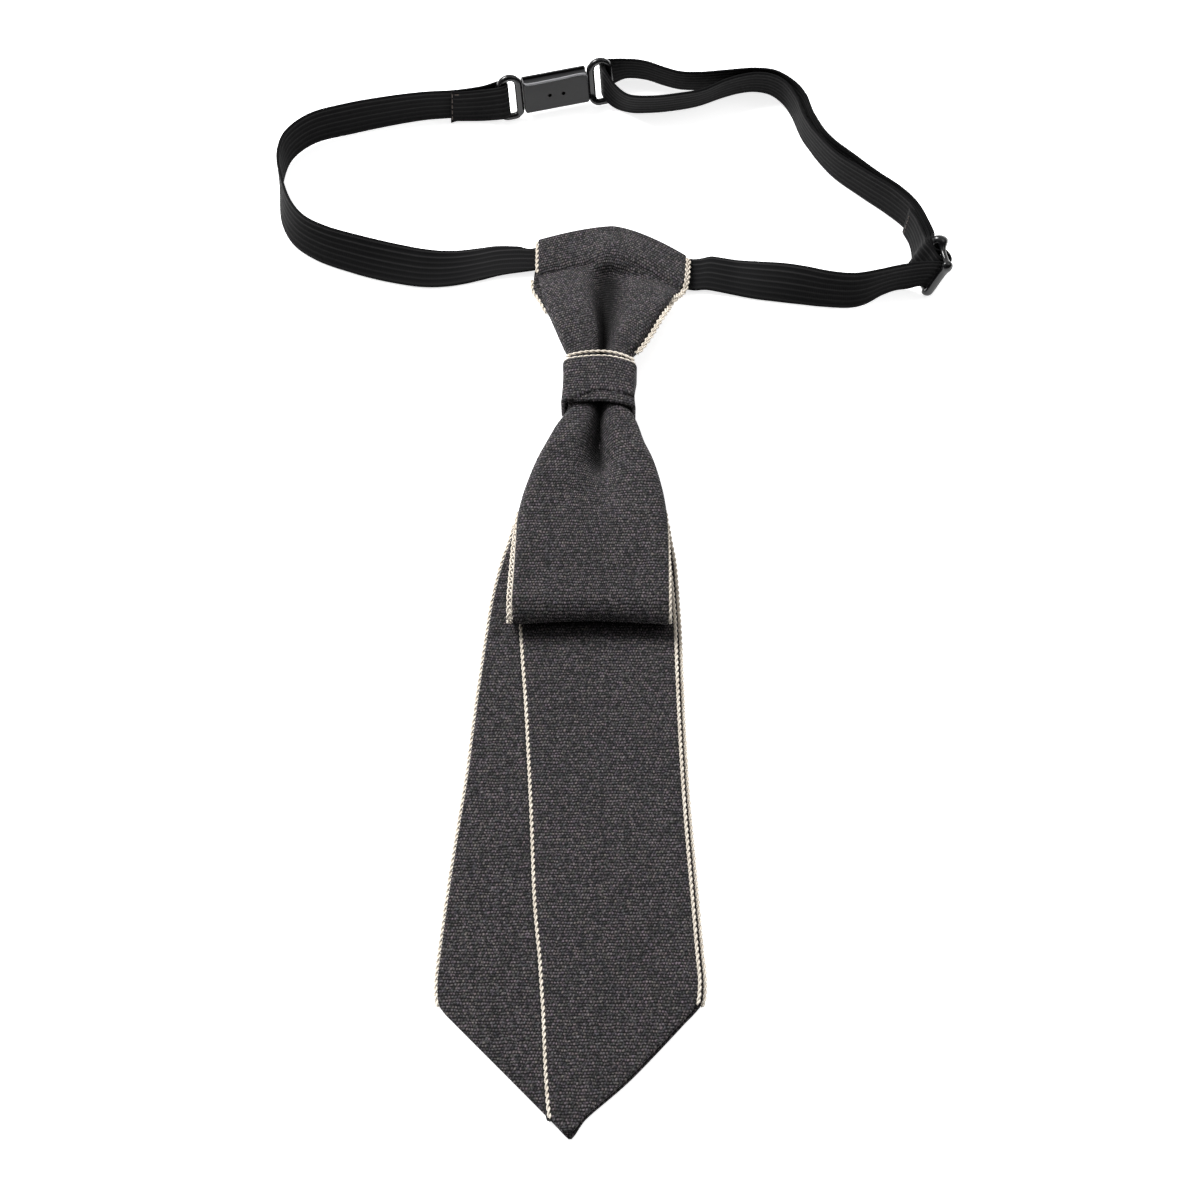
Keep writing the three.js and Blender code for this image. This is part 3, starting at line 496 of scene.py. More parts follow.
PAINTED_FOLD_SHADE = painted_fold_shade_group()
print("deep fold group has", len(PAINTED_FOLD_SHADE.nodes), "nodes")


# %% Grain group
def grain_group():
    labels = ("Fine Scale", "Fine Detail", "Broad Scale", "Broad Detail")
    tree, given, result = group(
        "grain",
        [("Place", "NodeSocketVector", None)] + [(label, "NodeSocketFloat", 2.0) for label in labels],
        [("Fine", "NodeSocketFloat"), ("Broad", "NodeSocketFloat")],
    )
    place, *values = given.outputs[:5]
    put(tree, result, Fine=noise(tree, place, *values[:2]), Broad=noise(tree, place, *values[2:]))
    return tree


GRAIN = grain_group()


def grain(tree, fine, broad):
    made = node(tree, "ShaderNodeGroup", node_tree=GRAIN)
    place = node(tree, "ShaderNodeTexCoord").outputs["Object"]
    put(tree, made, Place=place, i1=fine[0], i2=fine[1], i3=broad[0], i4=broad[1])
    return made.outputs["Fine"], made.outputs["Broad"]


print("grain group has", len(GRAIN.nodes), "nodes")


# %% Charcoal cloth
YARN_WIDTH = 0.8
YARN_ROW = 0.9
DARK_YARN = (0.0045, 0.0041, 0.0044)
PALE_YARN = (0.156, 0.143, 0.151)
# The fan's pale yarn is a little darker than the same cloth elsewhere: painted shade that tones down
# the fan's slopes, which turn towards the lamp.
FAN_SHADED_PALE_YARN = (0.146, 0.134, 0.141)


def cloth_material(name, light, fold=None):
    material, tree, shader = new_material(name)
    weave = node(tree, "ShaderNodeGroup", node_tree=WEAVE)
    put(tree, weave, Pitch=YARN_WIDTH * UV_SCALE, Row=YARN_ROW * UV_SCALE)
    fibres, cloud = grain(tree, (1500.0, 3.0), (45.0, 3.0))
    fluff = maths(tree, "MULTIPLY", smooth_mask(tree, fibres, 0.45, 0.75), 0.42)
    level = maths(tree, "MULTIPLY_ADD", weave.outputs["Ground"], 0.05, weave.outputs["Speckle"])
    base = colour_mix(tree, maths(tree, "ADD", level, fluff), (*DARK_YARN, 1), (*light, 1))
    tinted = colour_mix(tree, 0.08, base, weave.outputs["Tint"], "SOFT_LIGHT")
    wear_and_fold_shade = maths(tree, "MULTIPLY_ADD", cloud, 0.3, 0.85)
    # Along a deep fold the colour is darkened by the fold mask: painted shade.
    if fold:
        deep = node(tree, "ShaderNodeGroup", node_tree=PAINTED_FOLD_SHADE)
        put(tree, deep, **{label: UV_SCALE * fold[label] for label in fold if label != "Depth"})
        kept = maths(tree, "MULTIPLY_ADD", deep.outputs[0], -fold["Depth"], 1.0)
        wear_and_fold_shade = maths(tree, "MULTIPLY", wear_and_fold_shade, kept)
    dress(
        tree, shader,
        colour=colour_mix(tree, 1.0, tinted, wear_and_fold_shade, "MULTIPLY"),
        roughness=maths(tree, "MULTIPLY_ADD", weave.outputs["Speckle"], -0.2, 0.9),
        relief=(weave.outputs["Height"], 0.8, 0.0003),
        Sheen_Weight=0.04, Sheen_Roughness=0.5, Specular_IOR_Level=0.15,
    )
    return material


# The loop's dip below the knot and the fan's hollow above it get painted shade in their colour.
LOOP_FOLD_SHADE = {"Middle": 1, "Left": 8, "Right": 8, "Start": -90, "End": -41, "Soft": 12, "Depth": 0.88}
FAN_FOLD_SHADE = {"Middle": -1, "Left": 5.5, "Right": 13, "Start": -90, "End": -23, "Soft": 7, "Depth": 0.9}
CHARCOAL = cloth_material("charcoal_cloth", PALE_YARN)
SHADED_LOOP_CHARCOAL = cloth_material("charcoal_loop_painted_shade", PALE_YARN, LOOP_FOLD_SHADE)
SHADED_FAN_CHARCOAL = cloth_material("charcoal_fan_painted_shade", FAN_SHADED_PALE_YARN, FAN_FOLD_SHADE)
print("three charcoal cloths")

# %% [markdown]
# ## The tail
# Two flat panels hang from the knot, one lapped over the other, each with its pointed foot. They lie
# on the table and climb into the knot at the top.

# %% Tail rows
TAIL_UNDER = [
    [65, -8.6, 8.6], [56, -8.6, 8.6], [48, -12.5, 11.5], [38, -18.6, 15.6], [30, -23, 18.5],
    [19, -25.9, 20.1], [12.4, -27.8, 21.1], [-1, -30.5, 21.9], [-14, -32.1, 22.4], [-33.4, -34.2, 22.8],
    [-58.2, -36.6, 23.6], [-82.3, -39.6, 25.1], [-105.7, -42.1, 26.6], [-117, -43, 27.4],
    [-122.7, -42.7, 27], [-125.4, -41.4, 25.4], [-128.1, -38.9, 22.9], [-144.7, -22.9, 7.7],
    [-155.7, -12.4, -4.2], [-159.2, -9.2, -6.4], [-160.3, -8.1, -7.3],
]
TAIL_OVER = [
    [65, -8.4, 8.4], [56, -8.4, 8.4], [48, -11.5, 10.5], [38, -16.5, 14.4], [30, -20.3, 17],
    [19, -22, 18.6], [0, -22.2, 20.4], [-9.6, -22, 20.9], [-20.9, -21.3, 21.1], [-33.7, -20.3, 21.4],
    [-52.4, -19.2, 22], [-70.6, -18.2, 22.9], [-94.3, -17.1, 24.4], [-111.6, -15.5, 25.5],
    [-117.2, -15.1, 25.9], [-122.9, -14.7, 25.5], [-125.4, -14.5, 24.4], [-134.1, -14.1, 16.8],
    [-145, -13.5, 6.8], [-155.4, -12.4, -4.4], [-158.4, -10, -6.6], [-159.4, -9, -7.6],
]


# %% Tail panels
TAIL_STEP = 1.2
TAIL_RIPPLE = 0.12
RIPPLE_LENGTH = 60


def panel(rows, layer, columns):
    grid = []
    for y, left, right in refine(rows, TAIL_STEP):
        x = left + spread(right - left, columns)
        z = mix(on_table(layer), in_knot(layer + 1), tail_rise(y))
        grid.append(np.stack([x, np.full_like(x, y), np.full_like(x, z)], 1))
    grid = np.array(grid)
    return grid, grid[..., :2].copy()


def ripple(grid, height, length, seed):
    first, second = np.random.default_rng(seed).uniform(0, 2 * math.pi, 2)
    x, y = grid[..., 0], grid[..., 1]
    wave = np.sin(2 * math.pi * y / length + first + 0.02 * x)
    wave = wave + 0.6 * np.sin(2 * math.pi * (y + 0.8 * x) / (0.6 * length) + second)
    grid[..., 2] += height * (0.5 + 0.5 * wave / 1.6)
    return grid


tail_under_grid, tail_under_weave = panel(TAIL_UNDER, 0, 50)
tail_over_grid, tail_over_weave = panel(TAIL_OVER, 1, 40)
tail_over_grid = ripple(tail_over_grid, TAIL_RIPPLE, RIPPLE_LENGTH, seed=3)
tail_under = cloth_piece("tail_under_cloth", tail_under_grid, CLOTH, CHARCOAL, tail_under_weave)
tail_over = cloth_piece("tail_over_cloth", tail_over_grid, CLOTH, CHARCOAL, tail_over_weave)
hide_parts("tail_under")
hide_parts("tail_over")

# %% [markdown]
# ## Rows that roll and dip
# The cloth above and below the knot is gathered: its sides roll down and a dip runs down its middle.
# A row is laid out along its own length, over the roll on one side, across and over the other, and
# the dip is a soft notch that is deepest at the knot. A row can also lean over, which is how the
# cloth turns round the fold at its end. A noted row says where it lies along the tie, its left and
# right ends and its height, the roll's radius and angle, the dip's depth, width and place, how far
# the left and right ends bow down, and how it leans.

# %% One gathered row
BOW_POWER = 1.5


def row_across(row, columns, steep=1.0):
    y, left, right, z, roll, arc, dent, pinch, dent_x, bow_left, bow_right, lean = row
    arc, lean = math.radians(arc), math.radians(lean)
    overhang = roll * math.sin(min(arc, math.pi / 2))
    flat_left, flat_right = left + overhang, right - overhang
    reach = arc * roll
    total = flat_right - flat_left + 2 * reach
    position = spread(total, columns)
    along = position - reach
    past = np.maximum(0, np.maximum(-along, along - (flat_right - flat_left)))
    turn = past / roll
    side = np.where(along < 0, -1, 1)
    curled = np.where(side < 0, flat_left, flat_right) + side * roll * np.sin(turn)
    x = np.where(past > 0, curled, flat_left + along)
    hollow = pinch * np.where(x < dent_x, steep, 2 - steep)
    notch = np.exp(-(((x - dent_x) / hollow) ** 2)) * smoothstep(1.5, 0.6, turn)
    drop = roll * (1 - np.cos(turn)) + dent * notch
    half = (right - left) / 2
    away = x - (left + right) / 2
    bow = np.where(away < 0, bow_left, bow_right)
    base_y = y - bow * np.abs(away / half) ** BOW_POWER
    points = np.stack([x, base_y - drop * math.cos(lean), z - drop * math.sin(lean)], 1)
    return points, position - total / 2, total


# %% [markdown]
# The yarns follow the cloth's edges, and where the cloth is gathered the spare width goes into the
# dip. So the weave's sideways coordinate is true near the edges and squeezed near the middle.

# %% A gathered piece
FINE_STEP = 0.6
PLAIN_STEP = 2.5
GATHERED_COLUMNS = 90
MIDDLE_SHARE = 0.35


def gathered(rows, full_width, zero_row, steep=1.0):
    points, sideways = [], []
    for row in rows:
        spots, across, total = row_across(row, GATHERED_COLUMNS, steep)
        spare = max(0, full_width - total) / 2
        middle = MIDDLE_SHARE * total / 2
        sideways.append(across + np.sign(across) * spare * np.clip(np.abs(across) / middle, 0, 1))
        points.append(spots)
    grid = np.array(points)
    lengthways = path_length(grid, 0)
    lengthways = lengthways - lengthways[zero_row]
    return grid, np.stack([np.array(sideways), lengthways], 2)


def fold_rows(count, first, last, turned):
    return np.array([turned(mix(first, last, k / count), k / count) for k in range(count + 1)])


# %% [markdown]
# ## The loop below the knot
# The cloth comes out of the knot, widens, turns round a soft fold and goes back up behind itself.

# %% Loop rows
FOLD_RADIUS = 4.1
FRONT_Z = BAND_HEIGHT - BAND_WALL - GAP - CLOTH / 2
BACK_Z = on_table(2)
FOLD_Y = -5.0
FOLD_Z = BACK_Z + FOLD_RADIUS
KNOT_ROLL = (FRONT_Z - in_knot(4)) / 2

LOOP_FRONT = [
    [65, -KNOT_HALF - 0.2, KNOT_HALF - 0.2, FRONT_Z, KNOT_ROLL, 180, 3.9, 2.2, 0, 0, 0, 90],
    [58.6, -KNOT_HALF - 0.6, KNOT_HALF - 0.1, FRONT_Z, KNOT_ROLL, 178, 4.2, 2.1, 0, 0, 0, 90],
    [56.4, -10, 9.3, FRONT_Z + 0.1, 2.2, 170, 5, 2, 0, 0, 0, 90],
    [52.2, -12.5, 10.8, FRONT_Z + 0.5, 2.3, 150, 6.2, 2.4, -0.1, 0, 0, 90],
    [47, -14.9, 12.3, 13, 2.6, 125, 7.4, 3.5, -0.1, 0, 0, 90],
    [41, -17.7, 14.8, 13.1, 2.8, 108, 6.6, 4.6, 0.1, 0, 0, 90],
    [34, -20.2, 16.8, 12.9, 2.8, 96, 3, 5.2, 0.4, 0, 0, 90],
    [27.4, -22.1, 18.1, 12.5, 2.6, 86, 1.2, 6, 0.6, 0, 0, 90],
    [20.7, -23.3, 18.9, 12.3, 2.4, 72, 0.2, 6, 0, 0, 0, 90],
    [12, -23.8, 19.2, 12, 2.2, 56, 0, 5, 0, 0, 0, 90],
    [3, -24.2, 19.3, FOLD_Z + FOLD_RADIUS, 2, 42, 0, 5, 0, 0, 0, 90],
]


LOOP_BACK = [
    [y, left, right, z, 2, 4, 0, 5, 0, 0, 0, 270]
    for y, left, right, z in [
        (19, -23.2, 18.6, BACK_Z), (30, -20.8, 17, BACK_Z),
        (38, -16.6, 14.4, mix(BACK_Z, in_knot(3), tail_rise(38))),
        (48, -11.6, 10.4, mix(BACK_Z, in_knot(3), tail_rise(48))),
        (56, -8.7, 8.3, in_knot(3)), (65, -8.7, 8.3, in_knot(3)),
    ]
]


def loop_fold_row(lean, t):
    turn = math.radians(lean)
    bulge = math.sin(math.pi * t) ** 2
    y = FOLD_Y + FOLD_RADIUS * math.cos(turn)
    z = FOLD_Z + FOLD_RADIUS * math.sin(turn)
    return [y - 1.1 * bulge, -24.6, 19.3, z, 2, mix(32, 4, t), 0, 5, 0, 1.1 * bulge, 1.2 * bulge, lean]


# %% Loop
LOOP_CLOTH_WIDTH = 47
loop_front_rows = refine(LOOP_FRONT, FINE_STEP)
loop_turn_rows = fold_rows(24, 90, 270, loop_fold_row)
loop_rows = np.concatenate([loop_front_rows, loop_turn_rows, refine(LOOP_BACK, PLAIN_STEP)])
loop_grid, loop_weave = gathered(loop_rows, LOOP_CLOTH_WIDTH, zero_row=100)
front_loop = cloth_piece("front_loop_cloth", loop_grid, CLOTH, SHADED_LOOP_CHARCOAL, loop_weave)
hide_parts("front_loop")

# %% [markdown]
# ## The fold above the knot
# Here the cloth widens to a fan, folds over the elastic and goes down behind. The fold's top edge is
# bowed, lower on the right than on the left.

# %% Fan rows
ELASTIC_WIDTH = 12.0
ELASTIC_THICKNESS = 0.9
CASING_Z = on_table(0) + ELASTIC_THICKNESS + 2 * GAP + CLOTH + 0.1
CASING_FOLD = (CASING_Z - on_table(0)) / 2
CASING_TOP = 129.9
CASING_BOW_LEFT = 5.3
CASING_BOW_RIGHT = 11.4

FAN_FRONT = [
    [65.6, -KNOT_HALF, KNOT_HALF, FRONT_Z, KNOT_ROLL, 180, 3.9, 2.2, 0, 0, 0, 90],
    [76.4, -KNOT_HALF - 0.2, KNOT_HALF + 0.4, FRONT_Z, KNOT_ROLL, 178, 4.3, 1.7, 0.4, 0, 0, 90],
    [80.5, -10.2, 11.4, FRONT_Z, 2.1, 165, 5.6, 1.9, 0.6, 0, 0, 90],
    [86, -12.2, 14.6, 12, 2.4, 140, 7.7, 2.4, 0.9, 0, 0, 90],
    [92, -14.2, 17.2, 11.3, 2.5, 112, 8.4, 3.2, 0.9, 0, 0.4, 90],
    [98, -16.1, 19.6, 9.9, 2.4, 84, 7.6, 4.2, 0.8, 0.6, 1.4, 90],
    [104, -17.3, 21.3, 8.1, 2.2, 56, 6.2, 5, 0.5, 1.9, 3.6, 90],
    [108.5, -17.9, 22.4, 6.4, 2, 36, 4.7, 5.6, 0.4, 2.8, 5.6, 90],
    [111.6, -18.3, 23.1, 5, 2, 24, 3.1, 6.2, 0.6, 3.5, 7.6, 90],
    [113.6, -18.5, 23.6, 4.1, 2, 14, 1.3, 6.6, 1.2, 4, 8.8, 90],
    [115, -18.6, 23.9, 3.4, 2, 8, -1.3, 7, 2, 4.3, 9.4, 90],
    [116, -18.6, 24.2, 3.1, 2, 5, -2.4, 8, 2.3, 4.5, 9.8, 90],
    [116.8, -18.6, 24.5, 2.95, 2, 4, -2.7, 8.6, 2.3, 4.7, 10.1, 90],
    [117.8, -18.7, 25, CASING_Z + 0.1, 2, 4, -2.7, 9.5, 2.3, 4.9, 10.5, 90],
    [121.5, -18.8, 25.7, CASING_Z + 0.5, 2, 4, -2.2, 10, 2.2, 5.2, 11.1, 90],
    [126.4, -18.8, 26.1, CASING_Z + 0.35, 2, 4, -0.9, 10, 2, 5.3, 11.3, 90],
]


def fan_fold_row(lean, _):
    turn = math.radians(lean)
    y = CASING_TOP + CASING_FOLD * math.cos(turn)
    z = on_table(0) + CASING_FOLD + CASING_FOLD * math.sin(turn)
    return [y, -18.9, 26.3, z, 2, 4, 0, 5, 0, CASING_BOW_LEFT, CASING_BOW_RIGHT, lean]


def fan_back_row(y, left, right, bow_left, bow_right):
    z = mix(on_table(0), in_knot(0), head_rise(y))
    return [y, left, right, z, 2, 4, 0, 5, 0, bow_left, bow_right, -90]


FAN_BACK = [
    fan_back_row(*ends)
    for ends in [
        (118, -20.3, 24.4, 5.1, 10.7), (113, -20.3, 22, 4, 8.4), (108.5, -18.5, 19.8, 2.8, 5.4),
        (104.5, -17.3, 18, 1.4, 3), (98, -15, 16, 0, 0.8), (92, -12.2, 13.4, 0, 0),
        (86, -8.9, 10.9, 0, 0), (82, -7.6, 8.4, 0, 0), (78, -7.2, 7.2, 0, 0), (61, -7.2, 7.2, 0, 0),
    ]
]

# %% Fan
FAN_CLOTH_WIDTH = 48
FAN_STEEP = 0.55
fan_front_rows = refine(FAN_FRONT, FINE_STEP)
fan_turn_rows = fold_rows(16, 90, -90, fan_fold_row)
fan_rows = np.concatenate([fan_front_rows, fan_turn_rows, refine(FAN_BACK, PLAIN_STEP)])
fan_grid, fan_weave = gathered(fan_rows, FAN_CLOTH_WIDTH, len(fan_front_rows), FAN_STEEP)
neck_fold = cloth_piece("neck_fold_cloth", fan_grid, CLOTH, SHADED_FAN_CHARCOAL, fan_weave)
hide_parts("neck_fold")

# %% [markdown]
# ## The knot's band
# A strip of the same cloth goes once round everything in the knot. Its section is a box, softer at
# the back than in front, and it is a little narrower in the middle than at its two edges.

# %% Section of the band
FRONT_CORNER = 2.0


def band_section(scale, count):
    half = (BAND_HALF_WIDTH - BAND_WALL / 2) * scale
    low, high = BAND_WALL / 2, BAND_HEIGHT - BAND_WALL / 2
    outline = [(0.0, low)]
    for side, level, corner, start in [
        (-1, low, BAND_CORNER, -90), (-1, high, FRONT_CORNER, 180),
        (1, high, FRONT_CORNER, 90), (1, low, BAND_CORNER, 0),
    ]:
        corner -= BAND_WALL / 2
        cx = side * (half - corner)
        cz = level + (corner if level == low else -corner)
        for k in range(13):
            turn = math.radians(start - 90 * k / 12)
            outline.append((cx + corner * math.cos(turn), cz + corner * math.sin(turn)))
    outline.append((0.0, low))
    outline = np.array(outline)
    length = run_length(outline)
    spots = np.linspace(0, length[-1], count, endpoint=False)
    return np.stack([np.interp(spots, length, outline[:, k]) for k in (0, 1)], 1), spots


def band_top(x):
    return KNOT_TOP - np.where(x < 0, 1.5, 3.0) * (x / BAND_HALF_WIDTH) ** 2


def band_bottom(x):
    return KNOT_BOTTOM - np.where(x < 0, 0.5, 2.3) * (x / BAND_HALF_WIDTH) ** 2


# %% Band
BAND_TURNS = 200
BACK_RISE = 2.4
HEM_STEP = 0.6
HEM_SOFT = 0.012
DRAWN_IN = 0.03
WAIST = 0.4
band_levels = spread(KNOT_TOP - KNOT_BOTTOM, 44) / (KNOT_TOP - KNOT_BOTTOM)
band_grid = np.zeros((BAND_TURNS, len(band_levels), 3))
band_weave = np.zeros((BAND_TURNS, len(band_levels), 2))
for j, level in enumerate(band_levels):
    middle = math.sin(math.pi * level)
    section, around = band_section(1 - DRAWN_IN * middle, BAND_TURNS)
    x, z = section.T
    waist = WAIST * middle * (x > 0) * np.abs(x / BAND_HALF_WIDTH)
    raised = np.where(x < -6, BACK_RISE * (1 - z / BAND_HEIGHT), 0)
    hem = mix(0.02, 0.24, smoothstep(-10, 0, x))
    stands_out = HEM_STEP * smoothstep(hem - HEM_SOFT, hem + HEM_SOFT, level) * (z > BAND_HEIGHT - 2)
    band_grid[:, j, 0] = x - KNOT_SKEW * (1 - level) - waist
    band_grid[:, j, 1] = mix(band_bottom(x) + raised, band_top(x), level)
    band_grid[:, j, 2] = z + stands_out
    band_weave[:, j, 0] = around
    band_weave[:, j, 1] = level * (KNOT_TOP - KNOT_BOTTOM)
knot_band = cloth_piece("knot_band_cloth", band_grid, BAND_WALL, CHARCOAL, band_weave, ring=True)
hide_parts("knot_band")

# %% [markdown]
# ## Overlocked edges
# A sewing machine closes the cloth's raw edges with cream thread. On most edges it looks like a
# twisted cord, and on the two widest like a flat plait of three strands. Both are real strands here:
# each is a thin tube that winds round the edge's own line.

# %% Cream thread
def thread_material(name, pale, deep):
    material, tree, shader = new_material(name)
    fine, broad = grain(tree, (2600.0, 2.0), (160.0, 2.0))
    level = maths(tree, "MULTIPLY_ADD", fine, 0.6, maths(tree, "MULTIPLY", broad, 0.5))
    dress(
        tree, shader,
        colour=colour_mix(tree, level, (*deep, 1), (*pale, 1)),
        roughness=maths(tree, "MULTIPLY_ADD", fine, 0.2, 0.7),
        relief=(fine, 0.5, 0.0001),
        Sheen_Weight=0.1,
    )
    return material


CREAM = thread_material("cream_thread", (0.93, 0.88, 0.78), (0.26, 0.19, 0.13))


# %% Even steps along a line
def even_path(points, step):
    points = np.asarray(points, float)
    length = run_length(points[:, :3])
    spots = np.linspace(0, length[-1], max(4, int(length[-1] / step)))
    return np.stack([np.interp(spots, length, column) for column in points.T], 1), spots


def unit(vectors):
    return vectors / np.maximum(np.linalg.norm(vectors, axis=-1, keepdims=True), 1e-9)


# %% Tubes and strands
STRAND_SIDES = 7
STRAND_STEP = 0.3
STRAND_END = 0.6


def tube(centres, side, up, radius, sides=STRAND_SIDES):
    turns = np.linspace(0, 2 * math.pi, sides, endpoint=False)
    ring = side[:, None] * np.cos(turns)[None, :, None] + up[:, None] * np.sin(turns)[None, :, None]
    return centres[:, None] + ring * np.asarray(radius).reshape(-1, 1, 1)


def tube_faces(rows, sides, start):
    faces = []
    for i in range(rows - 1):
        for k in range(sides):
            n = (k + 1) % sides
            a, b = start + i * sides, start + (i + 1) * sides
            faces.append((a + k, a + n, b + n, b + k))
    faces.append(tuple(start + k for k in range(sides))[::-1])
    faces.append(tuple(start + (rows - 1) * sides + k for k in range(sides)))
    return faces


def strands(name, line, outward, style, node_name):
    path, spots = even_path(np.hstack([line, outward]), STRAND_STEP)
    centre, side = path[:, :3], unit(path[:, 3:])
    forward = unit(np.gradient(centre, axis=0))
    up = unit(np.cross(side, forward))
    side = unit(np.cross(forward, up))
    points, faces = [], []
    for k in range(style["count"]):
        phase = 2 * math.pi * (spots / style["turn"] + k / style["count"])
        sideways = style["spread"] * np.sin(phase)
        lift = style["lift"] * (np.cos(phase) if style["count"] == 2 else np.sin(2 * phase))
        route = centre + side * sideways[:, None] + up * lift[:, None]
        ends = rim(spots, STRAND_END) * rim(spots[-1] - spots, STRAND_END)
        radius = style["radius"] * np.maximum(0.25, ends)
        faces += tube_faces(len(route), STRAND_SIDES, sum(len(p) for p in points))
        points.append(tube(route, side, up, radius).reshape(-1, 3))
    piece = new_piece(name, np.concatenate(points), faces, CREAM)
    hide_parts(node_name)


CORD = {"count": 2, "turn": 3.7, "spread": 0.28, "lift": 0.25, "radius": 0.31, "away": 0.42}
PLAIT = {"count": 3, "turn": 6.0, "spread": 0.66, "lift": 0.26, "radius": 0.29, "away": 0.85}


# %% Edge lines of the cloth pieces
def edge_line(grid, side, keep, away):
    edge = grid[:, 0] if side < 0 else grid[:, -1]
    inner = grid[:, 6] if side < 0 else grid[:, -7]
    outward = unit(edge - inner)
    kept = keep(edge)
    return edge[kept] + outward[kept] * away, outward[kept]


# %% Edge line of the fan's right side, where the seam shows beside the roll
TURNED_IN = 66.0
FLANGE = np.array([0.9, -0.36, 0.25])


def shown_edge(grid, rows, keep, away):
    from_right = path_length(grid, 1)
    from_right = from_right[:, -1:] - from_right
    line, outward = [], []
    for k, row in enumerate(rows):
        curled = max(0, math.radians(row[5] - TURNED_IN)) * row[4]
        spot, before = [
            np.array([np.interp(far, from_right[k, ::-1], grid[k, ::-1, axis]) for axis in range(3)])
            for far in (curled, curled + 0.8)
        ]
        sideways = unit(spot - before)
        share = min(1, curled / 1.2)
        sideways = unit(mix(sideways, FLANGE, share))
        line.append(spot + sideways * mix(away, away + CLOTH / 2, share))
        outward.append(sideways)
    line, outward = np.array(line), np.array(outward)
    kept = keep(line)
    return line[kept], outward[kept]


# %% Which stretch of an edge has thread on it
LOOP_HIDES = 26
SIDES_END = -125
LAP_END = -156.5
CASING_CORD_START = 113
SLOPE_START = 77.5
BESIDE_ELASTIC = 0.6


def below_loop(p):
    return (p[:, 1] < LOOP_HIDES) & (p[:, 1] > SIDES_END)


def lap_length(p):
    return (p[:, 1] < LOOP_HIDES) & (p[:, 1] > LAP_END)


def loop_edge(p):
    return (p[:, 1] < 24) & ~((p[:, 2] < FOLD_Z - 1) & (p[:, 1] > 6))


STRAP_Z = on_table(0) + CLOTH / 2 + GAP + ELASTIC_THICKNESS / 2


def casing_end(p):
    return (p[:, 2] > STRAP_Z + BESIDE_ELASTIC) & (p[:, 1] > CASING_CORD_START)


def front_slope(p):
    return (p[:, 2] > STRAP_Z + BESIDE_ELASTIC) & (p[:, 1] > SLOPE_START)


def back_slope(p):
    start, end = np.where(p[:, 0] < 0, 98, 92), 113.5
    return (p[:, 2] < STRAP_Z - BESIDE_ELASTIC) & (p[:, 1] > start) & (p[:, 1] < end)


# %% Overlocked edges of the tail, the loop and the fan
for label, grid, side, keep, style in [
    ("tail_under_piping_left", tail_under_grid, -1, below_loop, CORD),
    ("tail_under_piping_right", tail_under_grid, 1, below_loop, CORD),
    ("tail_over_piping_left", tail_over_grid, -1, lap_length, CORD),
    ("tail_over_piping_right", tail_over_grid, 1, below_loop, CORD),
    ("front_loop_piping_left", loop_grid, -1, loop_edge, PLAIT),
    ("front_loop_piping_right", loop_grid, 1, loop_edge, CORD),
    ("neck_fold_piping_left", fan_grid, -1, casing_end, CORD),
    ("neck_fold_piping_right", fan_grid, 1, front_slope, PLAIT),
    ("neck_fold_back_piping_left", fan_grid, -1, back_slope, CORD),
    ("neck_fold_back_piping_right", fan_grid, 1, back_slope, CORD),
]:
    if label == "neck_fold_piping_right":
        line, outward = shown_edge(fan_grid, fan_rows, keep, style["away"])
    else:
        line, outward = edge_line(grid, side, keep, style["away"])
    strands(label.replace("piping", "thread"), line, outward, style, label)

# %% Painted shadow beside the lap's edge: a dark tube under the cord
SHADOW_STRIP_BELOW = 0.95
SHADOW_STRIP_RADIUS = 1.02
SHADOW_STRIP_SIDES = 10

# The near-black tube stands in for the shadow that runs along the lap's cord: painted shadow.
LAP_SHADOW_DARK = plain_material("painted_lap_shadow", (0.002, 0.002, 0.002), 0.95)
line, outward = edge_line(tail_over_grid, -1, lap_length, 0.35)
line = even_path(line - [0, 0, SHADOW_STRIP_BELOW], 0.8)[0]
sideways, upward = np.tile([1.0, 0, 0], (len(line), 1)), np.tile([0, 0, 1.0], (len(line), 1))
shadow_strip = tube(line, sideways, upward, SHADOW_STRIP_RADIUS * np.ones(len(line)), SHADOW_STRIP_SIDES)
shadow_strip_faces = tube_faces(len(line), SHADOW_STRIP_SIDES, 0)
new_piece("lap_shadow_strip", shadow_strip.reshape(-1, 3), shadow_strip_faces, LAP_SHADOW_DARK)

# %% Overlocked edges of the band
BAND_CORD = 0.45
FINE_CORD = {"count": 2, "turn": 3.5, "spread": 0.19, "lift": 0.2, "radius": 0.25}


def band_thread(name, beyond, share, node_name):
    section = band_section(1, 240)[0]
    middle = len(section) // 2
    reach_steps = int(share * middle)
    k = np.arange(-reach_steps, reach_steps + 1)
    spot = section[middle + k]
    away = beyond * (1 - 0.35 * np.abs(k / reach_steps) ** 3)
    y = band_top(spot[:, 0]) + BAND_CORD + away
    line = np.stack([spot[:, 0], y, spot[:, 1]], 1)
    strands(name, line, np.tile([0.0, 1.0, 0.0], (len(line), 1)), FINE_CORD, node_name)


band_thread("knot_band_thread_lower", 0, 0.385, "knot_band_piping_lower")
band_thread("knot_band_thread_upper", 2 * BAND_CORD + GAP + 0.5, 0.33, "knot_band_piping_upper")

# %% [markdown]
# ## The elastic strap
# Ribbed elastic stands on its edge round the back of the neck and lies flat where it enters the
# cloth. Its middle line and the direction of its upper edge are noted at a few places. Between them
# both follow a smooth curve, and a ribbed profile is carried along it.

